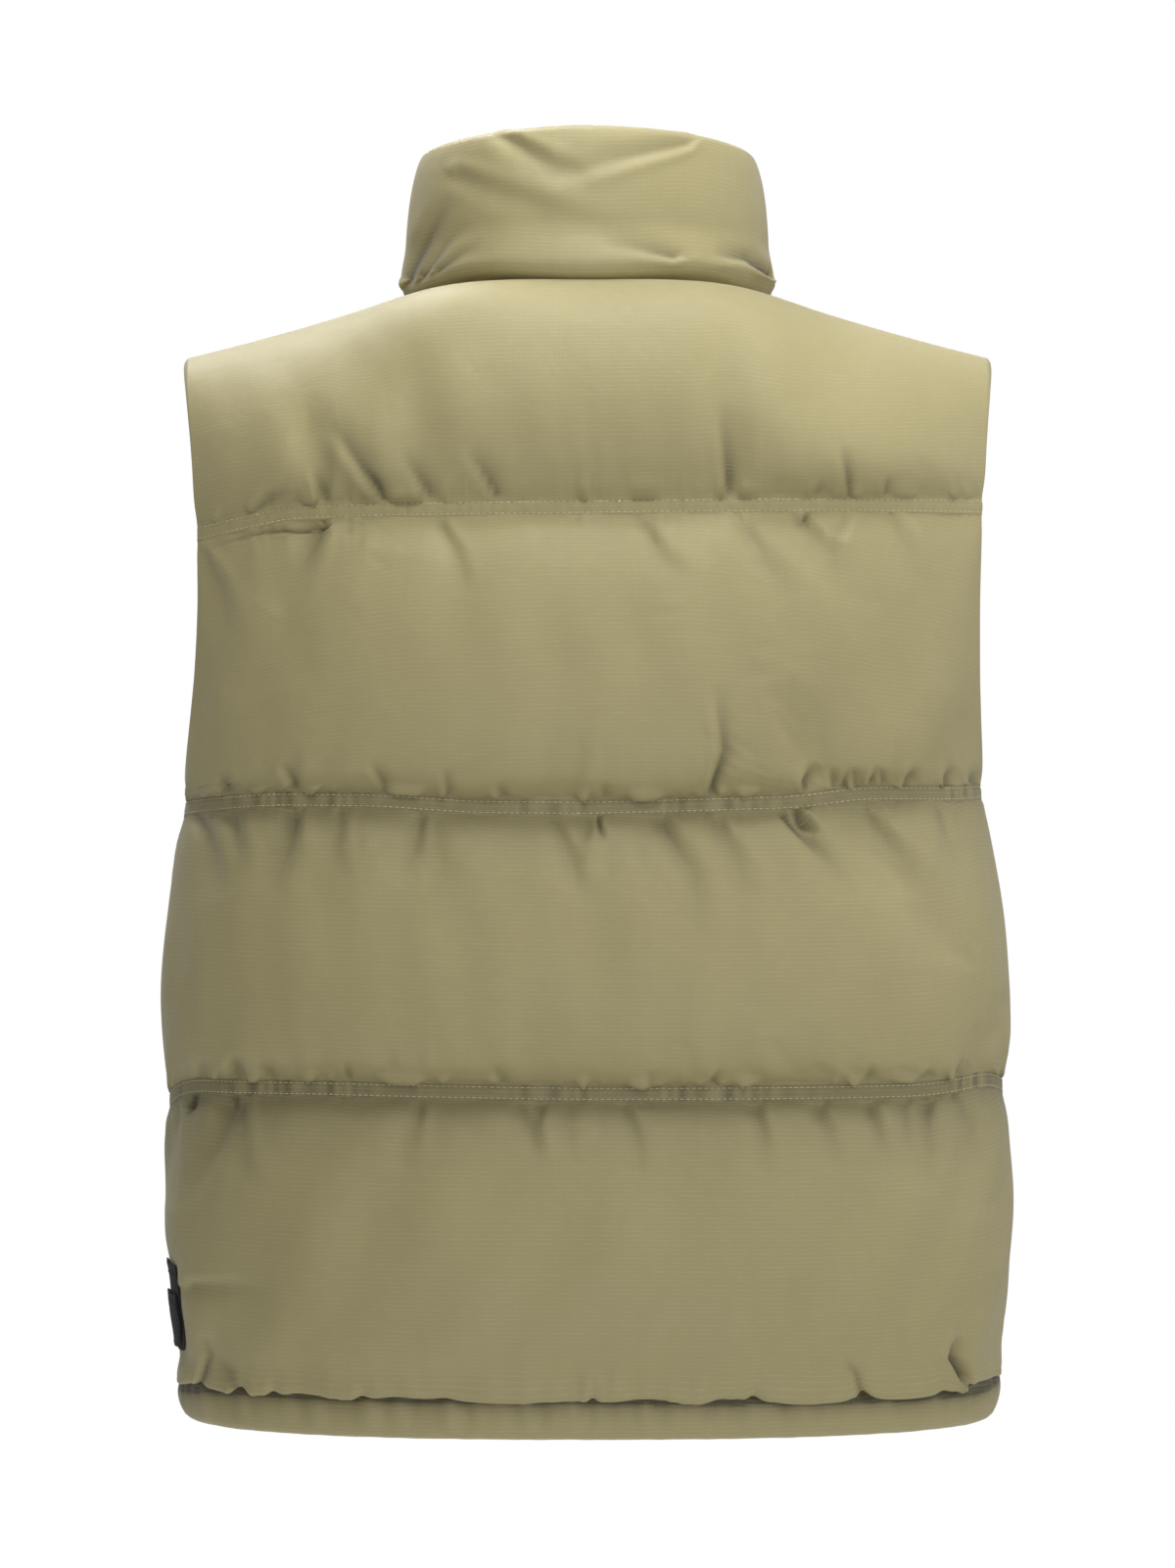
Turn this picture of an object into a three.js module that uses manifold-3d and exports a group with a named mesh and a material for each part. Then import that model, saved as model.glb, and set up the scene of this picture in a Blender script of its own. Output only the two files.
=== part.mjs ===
// A padded stand-collar vest, shown as worn with no wearer: a yoke and three wide quilted baffles
// on the back and on each front, a padded collar, a narrow hem band, a centre zip and a small
// black side tab.
// Millimetres. +Z is up, the front faces -Y and the wearer's left is +X. The origin is the middle
// of the neck base, where the wearer's shoulders hold the vest up.
import * as THREE from 'three';
import Module from 'manifold-3d';

const wasm = await Module();
wasm.setup();

// Driving sizes
const HEM_BOTTOM = -633;
const SEAM_GAP = 0.3;
const PRESSED = 3; // cloth, wadding and lining pressed flat under the stitches
const FELL = 7.5; // height of the flat felled strip along each quilting seam
const STRIP_SHARE = 0.03; // the same strip on the yoke, as a share of the yoke's curve
const SECTION_POWER = 2.4; // how boxy the body's section is: 2 is an ellipse
const CROWN = { back: 22, front: 20 }; // how far a baffle stands above its seams
const SIDE_SHARE = 0.1; // share of the crown left at the side seam, armhole edge and zip
const SIDE_EASE = 72; // distance over which the crown fades towards the side
const ZIP_EASE = 16; // and towards the zip
const CROWN_SKEW = 0.82; // under 1: the fullest line of a baffle sits below its middle
const CROWN_FULLNESS = 0.58; // under 1: a fuller, rounder baffle

const ZIP = { half: 8, tape: 3.4, tapeDepths: [1.4, 2.6], chain: 3 };
const ZIP_ROWS = { body: 22, chest: 6, collar: 6 };
const UNDERARM = -283;
const ARMHOLE_ANGLE = 60; // where the armhole edge cuts the section, from the centre line

const NECK = { halfWidth: 97, halfDepth: 90, centre: -4, steps: 10 };
const SHOULDER = { tip: 222, neckHeight: -13, slope: 0.293, sag: 6, thickness: 8 };
const YOKE_RISE = { back: 3.4, front: 2.1, shoulder: 2 }; // how steeply the yoke sets off upwards
const YOKE_LEVEL = 1.7; // how far it runs level before the ridge
const YOKE_CROWN = { full: 0.42, fades: 0.5, neckEase: 16, neckTurn: 14 }; // shares of the curve, and mm
const COLLAR = {
  backTop: 73, arch: 6, frontTop: 52, edge: 4, crown: 11.5, inner: 3, pullIn: 11, zipEase: 14, gap: 0.4,
  steps: 20, rows: [0, 0.08, 0.2, 0.4, 0.62, 0.82, 0.94, 1],
};
const COLLAR_DENT = { depth: 5, across: 26, at: 0.8, reach: 0.14 }; // under the top edge, centre back
const HEM = { bulge: 4.5, rows: [0, 0.12, 0.5, 0.88, 1] };

// The body at seam level: outer half width of the outline, how far the base stands behind and
// before the middle, and how far the sides hang over to the wearer's left.
const SECTIONS = [
  { z: -645, half: 226.0, back: 121, front: 122, over: -0.8 },
  { z: -620, half: 229.5, back: 123, front: 124, over: -0.8 },
  { z: -600, half: 230.5, back: 124, front: 126, over: -0.6 },
  { z: -560, half: 234.0, back: 124, front: 128, over: 0 },
  { z: -500, half: 236.5, back: 123, front: 128, over: 0.3 },
  { z: -440, half: 236.0, back: 121, front: 128, over: 0.8 },
  { z: -390, half: 235.0, back: 119, front: 128, over: 1.6 },
  { z: -340, half: 231.5, back: 118, front: 127, over: 2.0 },
  { z: -290, half: 226.0, back: 118, front: 126, over: 2.3 },
  { z: -245, half: 219.5, back: 119, front: 124, over: 1.0 },
  { z: -200, half: 217.0, back: 121, front: 121, over: -0.5 },
  { z: -160, half: 217.5, back: 123, front: 116, over: -0.8 },
  { z: -120, half: 220.5, back: 123, front: 109, over: -0.6 },
];
const EDGE_THICKNESS = 6; // cloth and crown beside the side seam, taken off the half width

// Quilting seams, top to bottom. Along the back each wanders: rows give the place across the back
// (-1 at the right side seam, 1 at the left) and how far the seam is above its level there.
const SEAMS = [
  { level: -135, wander: [
    { at: -1, rise: 3 }, { at: -0.6, rise: 2 }, { at: 0, rise: 0 }, { at: 0.5, rise: -1 },
    { at: 0.72, rise: -2 }, { at: 0.86, rise: -7 }, { at: 1, rise: -12 }] },
  { level: -297, wander: [
    { at: -1, rise: 9 }, { at: -0.75, rise: 7.5 }, { at: -0.55, rise: 8 }, { at: -0.4, rise: 3 },
    { at: 0, rise: 0 }, { at: 0.22, rise: 0.5 }, { at: 0.4, rise: 4 }, { at: 0.62, rise: 4.5 },
    { at: 1, rise: -2 }] },
  { level: -451, wander: [
    { at: -1, rise: -4 }, { at: -0.82, rise: 4.5 }, { at: -0.65, rise: 0 }, { at: 0, rise: 0 },
    { at: 0.5, rise: 2 }, { at: 0.8, rise: 1 }, { at: 1, rise: -13 }] },
  { level: -607, wander: [
    { at: -1, rise: 1 }, { at: -0.8, rise: -3 }, { at: 0, rise: 0 }, { at: 0.7, rise: 0 },
    { at: 1, rise: -7 }] },
];

// The largest folds: soft troughs that start at a baffle's lower or upper seam. Baffle 1 is the
// yoke. Place across, how far it leans by its end, width and reach in mm, and its depth as a
// share of the baffle's crown.
const BACK_FOLDS = [
  { baffle: 1, from: 'low', at: 0.6, lean: 0.09, width: 15, reach: 100, depth: 0.84 },
  { baffle: 1, from: 'low', at: 0.36, lean: 0.12, width: 16, reach: 125, depth: 0.41 },
  { baffle: 1, from: 'low', at: -0.33, lean: 0.02, width: 16, reach: 110, depth: 0.43 },
  { baffle: 2, from: 'high', at: 0.6, lean: 0.14, width: 20, reach: 105, depth: 0.68 },
  { baffle: 2, from: 'high', at: -0.5, lean: -0.1, width: 16, reach: 65, depth: 0.54 },
  { baffle: 2, from: 'low', at: -0.49, lean: 0.02, width: 15, reach: 80, depth: 0.74 },
  { baffle: 2, from: 'low', at: -0.78, lean: -0.08, width: 15, reach: 60, depth: 0.68 },
  { baffle: 2, from: 'low', at: -0.9, lean: -0.06, width: 14, reach: 50, depth: 0.61 },
  { baffle: 3, from: 'high', at: -0.5, lean: -0.16, width: 18, reach: 100, depth: 0.74 },
  { baffle: 3, from: 'high', at: 0.32, lean: -0.02, width: 16, reach: 80, depth: 0.47 },
  { baffle: 3, from: 'low', at: 0.85, lean: 0.0, width: 15, reach: 60, depth: 0.74 },
  { baffle: 3, from: 'low', at: -0.76, lean: -0.08, width: 16, reach: 55, depth: 0.74 },
  { baffle: 4, from: 'high', at: 0.84, lean: 0.14, width: 18, reach: 115, depth: 0.61 },
  { baffle: 4, from: 'high', at: -0.7, lean: -0.03, width: 16, reach: 80, depth: 0.54 },
  { baffle: 4, from: 'low', at: -0.86, lean: 0.03, width: 20, reach: 70, depth: 0.81 },
];
const FRONT_FOLDS = [
  { baffle: 1, from: 'low', at: 0.5, lean: 0.1, width: 17, reach: 105, depth: 0.57 },
  { baffle: 2, from: 'low', at: 0.3, lean: 0.05, width: 16, reach: 70, depth: 0.57 },
  { baffle: 2, from: 'high', at: 0.72, lean: 0.1, width: 17, reach: 80, depth: 0.61 },
  { baffle: 3, from: 'low', at: 0.6, lean: -0.07, width: 16, reach: 65, depth: 0.61 },
  { baffle: 3, from: 'high', at: 0.2, lean: 0.05, width: 16, reach: 65, depth: 0.51 },
  { baffle: 4, from: 'high', at: 0.66, lean: 0.08, width: 18, reach: 90, depth: 0.57 },
  { baffle: 4, from: 'low', at: 0.36, lean: -0.05, width: 17, reach: 60, depth: 0.61 },
];
const FRONT_STEPS = 13; // columns across one front
const BACK_STEPS = 2 * FRONT_STEPS; // columns across the whole back
const BAFFLE_ROWS = 6;

const material = (hex, roughness, metalness = 0) =>
  new THREE.MeshStandardMaterial({ color: hex, roughness, metalness });
const FINISH = {
  shell: material(0x9a946c, 0.75),
  tape: material(0x7d7a58, 0.85),
  teeth: material(0x6d6a4c, 0.45),
  metal: material(0x4a4a44, 0.35, 0.8),
  black: material(0x1d1e20, 0.8),
};

const mix = (a, b, t) => a + (b - a) * t;
const clamp = (t) => Math.min(1, Math.max(0, t));
const smooth = (t) => clamp(t) ** 2 * (3 - 2 * clamp(t));
const radians = THREE.MathUtils.degToRad;

// Reads one column of a table at a place, straight between its rows.
function tableAt(rows, keyColumn, column, place) {
  let k = 0;
  while (k < rows.length - 2 && rows[k + 1][keyColumn] < place) k += 1;
  const [a, b] = [rows[k], rows[k + 1]];
  return mix(a[column], b[column], clamp((place - a[keyColumn]) / (b[keyColumn] - a[keyColumn])));
}

// The same on the body's sections, smoothed by averaging over half of the rows' usual spacing.
function sectionSize(column, z) {
  const reach = 22;
  const offsets = [-1, -0.5, 0, 0.5, 1];
  const sum = offsets.reduce((total, t) => total + tableAt(SECTIONS, 'z', column, z + t * reach), 0);
  return sum / offsets.length;
}

// How far round the section a panel goes, in degrees from the centre line: to the side seam
// below the underarm, and to the armhole's edge, a quarter ellipse in the side view, above it.
function edgeAngle(z) {
  if (z <= UNDERARM) return 90;
  const t = clamp((SEAMS[0].level - z) / (SEAMS[0].level - UNDERARM));
  return ARMHOLE_ANGLE + (90 - ARMHOLE_ANGLE) * (1 - Math.sqrt(1 - t * t));
}

// A point of the body's base at height z. s is 0 at the centre and 1 or -1 at the panel's edge,
// spaced evenly by arc length, and side is 1 on the back and -1 on the front.
function bodyPoint(side, s, z) {
  const power = 2 / SECTION_POWER;
  const depth = sectionSize(side > 0 ? 'back' : 'front', z);
  const last = radians(edgeAngle(z));
  const width = (sectionSize('half', z) - EDGE_THICKNESS) / Math.sin(last) ** power;
  const inner = side > 0 ? 0 : ZIP.half;
  const first = Math.asin((inner / width) ** (1 / power));
  const steps = 48;
  const crowding = 1.3; // more of the samples go where the section is flat
  const curve = [];
  let length = 0;
  for (let k = 0; k <= steps; k += 1) {
    const angle = mix(first, last, (k / steps) ** crowding);
    const x = width * Math.sin(angle) ** power;
    const y = depth * Math.max(Math.cos(angle), 0) ** power;
    if (k) length += Math.hypot(x - curve[k - 1].x, y - curve[k - 1].y);
    curve.push({ x, y, length });
  }
  const wanted = Math.abs(s) * length;
  let k = 1;
  while (k < steps && curve[k].length < wanted) k += 1;
  const t = clamp((wanted - curve[k - 1].length) / (curve[k].length - curve[k - 1].length));
  const x = mix(curve[k - 1].x, curve[k].x, t);
  const y = mix(curve[k - 1].y, curve[k].y, t);
  const sign = s < 0 ? -1 : 1;
  const out = new THREE.Vector3(
    sign * x ** (SECTION_POWER - 1) / width ** SECTION_POWER,
    side * Math.max(y, 0) ** (SECTION_POWER - 1) / depth ** SECTION_POWER, 0).normalize();
  const over = sectionSize('over', z) * Math.abs(s);
  return { point: new THREE.Vector3(sign * x + over, side * (y + SEAM_GAP / 2), z), out, length };
}

// Height of a quilting seam. The back's wander is straight between its even columns, so that the
// baffles above and below share their edge, and the fronts only meet the back at the side seams.
function seamHeight(index, side, s) {
  const { level, wander } = SEAMS[index];
  const riseAt = (place) => tableAt(wander, 'at', 'rise', place);
  if (side < 0) return level + riseAt(Math.sign(s) || 1) * smooth((Math.abs(s) - 0.5) * 2);
  const column = clamp((s + 1) / 2) * BACK_STEPS;
  const low = Math.min(Math.floor(column), BACK_STEPS - 1);
  const place = (k) => (2 * k) / BACK_STEPS - 1;
  return level + mix(riseAt(place(low)), riseAt(place(low + 1)), column - low);
}

// The front's seams have even columns of their own.
function frontSeamHeight(index, s) {
  const column = Math.abs(s) * FRONT_STEPS;
  const low = Math.min(Math.floor(column), FRONT_STEPS - 1);
  const sign = Math.sign(s) || 1;
  const at = (k) => seamHeight(index, -1, (sign * k) / FRONT_STEPS);
  return mix(at(low), at(low + 1), column - low);
}
const seamAt = (index, side, s) => (side > 0 ? seamHeight(index, 1, s) : frontSeamHeight(index, s));

// The shoulder's ridge, from the middle of the neck out to the shoulder's tip.
function ridgeHeight(x) {
  if (x < NECK.halfWidth) {
    const rise = (SHOULDER.slope * NECK.halfWidth) / 2;
    return SHOULDER.neckHeight + rise * (1 - (x / NECK.halfWidth) ** 2);
  }
  const t = (x - NECK.halfWidth) / (SHOULDER.tip - NECK.halfWidth);
  const sag = SHOULDER.sag * Math.sin(Math.PI * t ** 0.6);
  return SHOULDER.neckHeight - (x - NECK.halfWidth) * SHOULDER.slope - sag;
}

// The yoke's base: a curve from the first quilting seam, straight up at first, to the ridge, which
// it reaches level. The neck opening is cut out of this surface.
function yokePoint(side, s, v) {
  const foot = bodyPoint(side, s, seamAt(0, side, s)).point;
  const sign = s < 0 ? -1 : 1;
  const x = Math.max(Math.abs(s) * SHOULDER.tip, side < 0 ? ZIP.half : 0);
  const ridge = new THREE.Vector3(sign * x, NECK.centre + side * SEAM_GAP / 2, ridgeHeight(x));
  const atNeck = side > 0 ? YOKE_RISE.back : YOKE_RISE.front;
  const steepness = mix(atNeck, YOKE_RISE.shoulder, smooth((x - 50) / 90));
  const start = new THREE.Vector3(0, 0, (ridge.z - foot.z) * steepness);
  const end = new THREE.Vector3(0, (ridge.y - foot.y) * YOKE_LEVEL, 0);
  const [v2, v3] = [v * v, v * v * v];
  return new THREE.Vector3()
    .addScaledVector(foot, 2 * v3 - 3 * v2 + 1)
    .addScaledVector(start, v3 - 2 * v2 + v)
    .addScaledVector(ridge, 3 * v2 - 2 * v3)
    .addScaledVector(end, v3 - v2);
}

// The value between two others at which a rising function reaches 0.
function rootOf(rising, low, high) {
  let [a, b] = [low, high];
  for (let k = 0; k < 24; k += 1) {
    const middle = (a + b) / 2;
    if (rising(middle) < 0) a = middle;
    else b = middle;
  }
  return (a + b) / 2;
}

// Where the yoke's curve at s enters the neck opening, an ellipse seen from above.
function neckEntry(side, s) {
  const inside = (v) => {
    const { x, y } = yokePoint(side, s, v);
    return 1 - Math.hypot(x / NECK.halfWidth, (y - NECK.centre) / NECK.halfDepth);
  };
  const v = inside(1) < 0 ? 1 : rootOf(inside, 0, 1);
  const point = yokePoint(side, s, v);
  const angle = THREE.MathUtils.radToDeg(
    Math.atan2(point.x / NECK.halfWidth, side * (point.y - NECK.centre) / NECK.halfDepth));
  return { s, v, point, angle };
}

// The neck seam on the left half: entries at even angles from the centre to the shoulder.
const CORNER = NECK.halfWidth / SHOULDER.tip;
const ZIP_NECK_ANGLE = THREE.MathUtils.radToDeg(Math.asin(ZIP.half / NECK.halfWidth));
function neckEntries(side) {
  const first = side > 0 ? 0 : ZIP_NECK_ANGLE;
  return Array.from({ length: NECK.steps + 1 }, (_, k) => {
    const angle = mix(first, 90, k / NECK.steps);
    if (k === 0) return neckEntry(side, side > 0 ? 0 : 1e-6);
    if (k === NECK.steps) return { s: CORNER, v: 1, point: yokePoint(side, CORNER, 1), angle };
    return neckEntry(side, rootOf((s) => neckEntry(side, s).angle - angle, 0, CORNER));
  });
}
const BACK_NECK = neckEntries(1);
const FRONT_NECK = neckEntries(-1);

// The neck seam by angle round the neck from the centre back.
function neckPoint(angle) {
  const size = Math.abs(angle);
  const entries = size <= 90 ? BACK_NECK : FRONT_NECK;
  const first = size <= 90 ? 0 : ZIP_NECK_ANGLE;
  const place = clamp(((size <= 90 ? size : 180 - size) - first) / (90 - first)) * NECK.steps;
  const low = Math.min(Math.floor(place), NECK.steps - 1);
  const point = entries[low].point.clone().lerp(entries[low + 1].point, place - low);
  point.x *= angle < 0 ? -1 : 1;
  return point;
}

// The way both walls lean out at the neck seam, halfway between the body and the collar.
function neckOut(angle) {
  const t = radians(angle);
  const lift = radians(mix(15, 36, Math.sin(t) ** 2));
  return new THREE.Vector3(
    Math.sin(t) * Math.cos(lift), Math.cos(t) * Math.cos(lift), Math.sin(lift)).normalize();
}

// How far up its curve a column of the yoke goes: to the neck seam, or on to the ridge.
function yokeTop(side, s) {
  const share = Math.abs(s);
  if (share > CORNER - 1e-6) return 1;
  const entries = side > 0 ? BACK_NECK : FRONT_NECK;
  return entries.reduce((a, b) => (Math.abs(b.s - share) < Math.abs(a.s - share) ? b : a)).v;
}

// How far a baffle's crown has risen at a share of its height, from 0 at a seam to 1.
const crownProfile = (v) => Math.sin(Math.PI * clamp(v) ** CROWN_SKEW) ** CROWN_FULLNESS;

// How much of the crown is left beside an edge that is a distance away.
const easeFromEdge = (distance, reach) =>
  SIDE_SHARE + (1 - SIDE_SHARE) * (1 - Math.exp(-((Math.max(distance, 0) / reach) ** 1.4)));

// The share of the crown that the folds leave at a place on a baffle.
function leftByFolds(folds, baffle, s, up, down, length) {
  let left = 1;
  for (const fold of folds) {
    if (fold.baffle !== baffle) continue;
    const along = (fold.from === 'low' ? up : down) / fold.reach;
    if (along > 1) continue;
    const across = ((s - fold.at - fold.lean * along) * length) / fold.width;
    left *= 1 - fold.depth * Math.exp(-across * across) * (1 - along) ** 0.8;
  }
  return left;
}

// A closed wall from two grids of points, outer[row][column] and inner[row][column].
function wallBetween(outer, inner) {
  const rows = outer.length;
  const columns = outer[0].length;
  const positions = [...outer.flat(), ...inner.flat()].flatMap((p) => [p.x, p.y, p.z]);
  const index = [];
  const at = (layer, row, column) => layer * rows * columns + row * columns + column;
  const quad = (a, b, c, d) => index.push(a, b, c, a, c, d);
  for (let r = 0; r < rows - 1; r += 1) {
    for (let c = 0; c < columns - 1; c += 1) {
      quad(at(0, r, c), at(0, r, c + 1), at(0, r + 1, c + 1), at(0, r + 1, c));
      quad(at(1, r, c), at(1, r + 1, c), at(1, r + 1, c + 1), at(1, r, c + 1));
    }
    quad(at(0, r, 0), at(0, r + 1, 0), at(1, r + 1, 0), at(1, r, 0));
    const end = columns - 1;
    quad(at(0, r + 1, end), at(0, r, end), at(1, r, end), at(1, r + 1, end));
  }
  for (let c = 0; c < columns - 1; c += 1) {
    quad(at(0, 0, c + 1), at(0, 0, c), at(1, 0, c), at(1, 0, c + 1));
    quad(at(0, rows - 1, c), at(0, rows - 1, c + 1), at(1, rows - 1, c + 1), at(1, rows - 1, c));
  }
  const geometry = new THREE.BufferGeometry();
  geometry.setAttribute('position', new THREE.Float32BufferAttribute(positions, 3));
  geometry.setIndex(index);
  if (signedVolume(geometry) < 0) {
    geometry.setIndex(index.reverse());
  }
  geometry.computeVertexNormals();
  return geometry;
}

function signedVolume(geometry) {
  const [p, index] = [geometry.attributes.position, geometry.index];
  const [a, b, c] = [new THREE.Vector3(), new THREE.Vector3(), new THREE.Vector3()];
  let volume = 0;
  for (let k = 0; k < index.count; k += 3) {
    a.fromBufferAttribute(p, index.getX(k));
    b.fromBufferAttribute(p, index.getX(k + 1));
    c.fromBufferAttribute(p, index.getX(k + 2));
    volume += a.dot(b.cross(c)) / 6;
  }
  return volume;
}

const vest = new THREE.Group();
function add(name, geometry, finish) {
  const mesh = new THREE.Mesh(geometry, finish);
  mesh.name = name;
  vest.add(mesh);
}

// Even columns from first to 1, with one more at each of a baffle's folds.
function columnsOf(steps, first, folds, baffle) {
  const places = Array.from({ length: steps + 1 }, (_, k) => mix(first, 1, k / steps));
  const apart = ((1 - first) / steps) * 0.3;
  for (const fold of folds) {
    if (fold.baffle !== baffle) continue;
    if (places.every((place) => Math.abs(place - fold.at) > apart)) places.push(fold.at);
  }
  return places.sort((a, b) => a - b);
}

// A left front's columns turned over for the right one, whose zip edge keeps its own sign.
const overToRight = (columns) => columns.map((s) => -Math.max(s, 1e-6)).reverse();

// Shares of a baffle's height, closer together by its seams.
const ROW_SHARES = Array.from({ length: BAFFLE_ROWS + 1 },
  (_, k) => 0.5 - 0.5 * Math.cos((Math.PI * k) / BAFFLE_ROWS));

// Distance from the panel's free side, and from the zip on a front.
function edgeEase(side, s, length) {
  const fromSide = easeFromEdge((1 - Math.abs(s)) * length, SIDE_EASE);
  return side > 0 ? fromSide : fromSide * easeFromEdge(Math.abs(s) * length, ZIP_EASE);
}

// A baffle between two quilting seams: a flat felled strip along its lower seam, then the crown.
function baffle(number, side, columns, folds) {
  const crown = side > 0 ? CROWN.back : CROWN.front;
  const outer = [];
  const inner = [];
  for (let row = -1; row <= BAFFLE_ROWS; row += 1) {
    const [outerRow, innerRow] = [[], []];
    for (const s of columns) {
      const low = seamAt(number - 1, side, s) + SEAM_GAP;
      const high = seamAt(number - 2, side, s);
      const start = number === 4 ? low : low + FELL;
      const share = row < 0 ? 0 : ROW_SHARES[row];
      const z = row < 0 ? low : mix(start, high, share);
      const { point, out, length } = bodyPoint(side, s, z);
      const folded = leftByFolds(folds, number, s, z - start, high - z, length);
      const thick = PRESSED + crown * crownProfile(share) * edgeEase(side, s, length) * folded;
      innerRow.push(point);
      outerRow.push(point.clone().addScaledVector(out, thick));
    }
    if (number === 4 && row < 0) continue;
    outer.push(outerRow);
    inner.push(innerRow);
  }
  return wallBetween(outer, inner);
}

// The yoke's wall at a point of its base: which way it is thickened, and by how much. The crown
// rises from the first seam and fades towards the neck seam and the shoulder's ridge.
function yokeWall(side, s, v, point, folds, ends) {
  const crown = side > 0 ? CROWN.back : CROWN.front;
  const foot = bodyPoint(side, s, seamAt(0, side, s));
  const step = 0.01;
  const up = yokePoint(side, s, Math.min(1, v + step)).sub(yokePoint(side, s, Math.max(0, v - step)));
  const across = yokePoint(side, Math.min(ends[1], s + step), v)
    .sub(yokePoint(side, Math.max(ends[0], s - step), v));
  const normal = across.cross(up).normalize();
  if (normal.dot(foot.out) + normal.z * v < 0) normal.negate();

  const plan = new THREE.Vector2(point.x / NECK.halfWidth, (point.y - NECK.centre) / NECK.halfDepth);
  const fromNeck = Math.max(0, (plan.length() - 1) * NECK.halfWidth);
  const nearNeck = Math.exp(-((fromNeck / YOKE_CROWN.neckTurn) ** 2));
  const onRidge = new THREE.Vector3(Math.sign(s) * 0.3, 0, 0.95);
  const out = foot.out.clone().lerp(normal, smooth(v / 0.25)).lerp(onRidge, smooth((v - 0.75) / 0.25));
  const angle = THREE.MathUtils.radToDeg(Math.atan2(plan.x, plan.y));
  out.lerp(neckOut(angle), nearNeck).normalize();

  const rise = Math.sin((Math.PI / 2) * Math.min(1, v / YOKE_CROWN.full)) ** CROWN_FULLNESS;
  const toRidge = Math.cos((Math.PI / 2) * clamp((v - YOKE_CROWN.fades) / (1 - YOKE_CROWN.fades))) ** 0.8;
  const toNeck = 1 - Math.exp(-fromNeck / YOKE_CROWN.neckEase);
  const reach = foot.point.distanceTo(yokePoint(side, s, 1));
  const folded = leftByFolds(folds, 1, s, v * reach, (1 - v) * reach, foot.length);
  const left = edgeEase(side, s, foot.length) * folded;
  const edge = mix(PRESSED, SHOULDER.thickness, smooth(v) * smooth(fromNeck / 30));
  return { out, thick: edge + crown * rise * toRidge * toNeck * left };
}

// The yoke, from its felled strip up over the shoulder to the shoulder's ridge and the neck seam.
function yoke(side, columns, folds) {
  const rows = BAFFLE_ROWS + 1;
  const crowding = 1.2; // the rows are closer together by the top edge
  const outer = [];
  const inner = [];
  for (let row = -1; row <= rows; row += 1) {
    const [outerRow, innerRow] = [[], []];
    const share = row < 0 ? 0 : Math.sin((Math.PI / 2) * (row / rows)) ** crowding;
    for (const s of columns) {
      const v = row < 0 ? 0 : mix(STRIP_SHARE, yokeTop(side, s), share);
      const point = yokePoint(side, s, v);
      const { out, thick } = yokeWall(side, s, v, point, folds, [columns[0], columns.at(-1)]);
      point.z += SEAM_GAP * (1 - share);
      innerRow.push(point);
      outerRow.push(point.clone().addScaledVector(out, row <= 0 ? PRESSED : thick));
    }
    outer.push(outerRow);
    inner.push(innerRow);
  }
  return wallBetween(outer, inner);
}

// The yoke's columns keep to the neck seam's entries, so that the collar's edge meets its edge.
function yokeColumns(side, folds) {
  const half = (side > 0 ? BACK_NECK : FRONT_NECK).map((entry) => entry.s);
  half[half.length - 1] = CORNER;
  for (let k = 1; k <= FRONT_STEPS; k += 1) {
    if (k / FRONT_STEPS > CORNER + 0.01) half.push(k / FRONT_STEPS);
  }
  const places = side > 0 ? [...half.slice(1).map((s) => -s), ...half] : half;
  for (const fold of folds) {
    const onShoulder = fold.baffle === 1 && Math.abs(fold.at) > CORNER;
    if (onShoulder && places.every((s) => Math.abs(s - fold.at) > 0.02)) places.push(fold.at);
  }
  return places.sort((a, b) => a - b);
}

// The hem band: a narrow casing, rounded below, that hangs from the last seam.
function hemBand(side, columns) {
  const outer = [];
  const inner = [];
  for (const share of HEM.rows) {
    const [outerRow, innerRow] = [[], []];
    for (const s of columns) {
      const z = mix(HEM_BOTTOM, seamAt(3, side, s), share);
      const { point, out } = bodyPoint(side, s, z);
      innerRow.push(point);
      const thick = PRESSED + HEM.bulge * Math.sin(Math.PI * share) ** CROWN_FULLNESS;
      outerRow.push(point.clone().addScaledVector(out, thick));
    }
    outer.push(outerRow);
    inner.push(innerRow);
  }
  return wallBetween(outer, inner);
}

// Collar, by share of the way round from the centre back to the zip, and share of its height.
// It stands in from the neck seam, and its ends keep the zip's width apart.
const collarPull = (v) => COLLAR.pullIn * smooth(v / 0.4);
function collarAngle(around, v) {
  const width = NECK.halfWidth - collarPull(v);
  const last = 180 - THREE.MathUtils.radToDeg(Math.asin(ZIP.half / width));
  const share = Math.abs(around);
  return Math.sign(around) * (share <= 0.5 ? 180 * share : mix(90, last, 2 * share - 1));
}

function collarBase(around, v) {
  const angle = collarAngle(around, v);
  const t = radians(angle);
  const frontness = smooth((Math.abs(angle) - 90) / 90);
  const backTop = COLLAR.backTop + COLLAR.arch * Math.max(Math.cos(t), 0) ** 2;
  return new THREE.Vector3(
    (NECK.halfWidth - collarPull(v)) * Math.sin(t),
    NECK.centre + (NECK.halfDepth - collarPull(v)) * Math.cos(t),
    mix(neckPoint(angle).z + COLLAR.gap, mix(backTop, COLLAR.frontTop, frontness), v));
}

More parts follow.
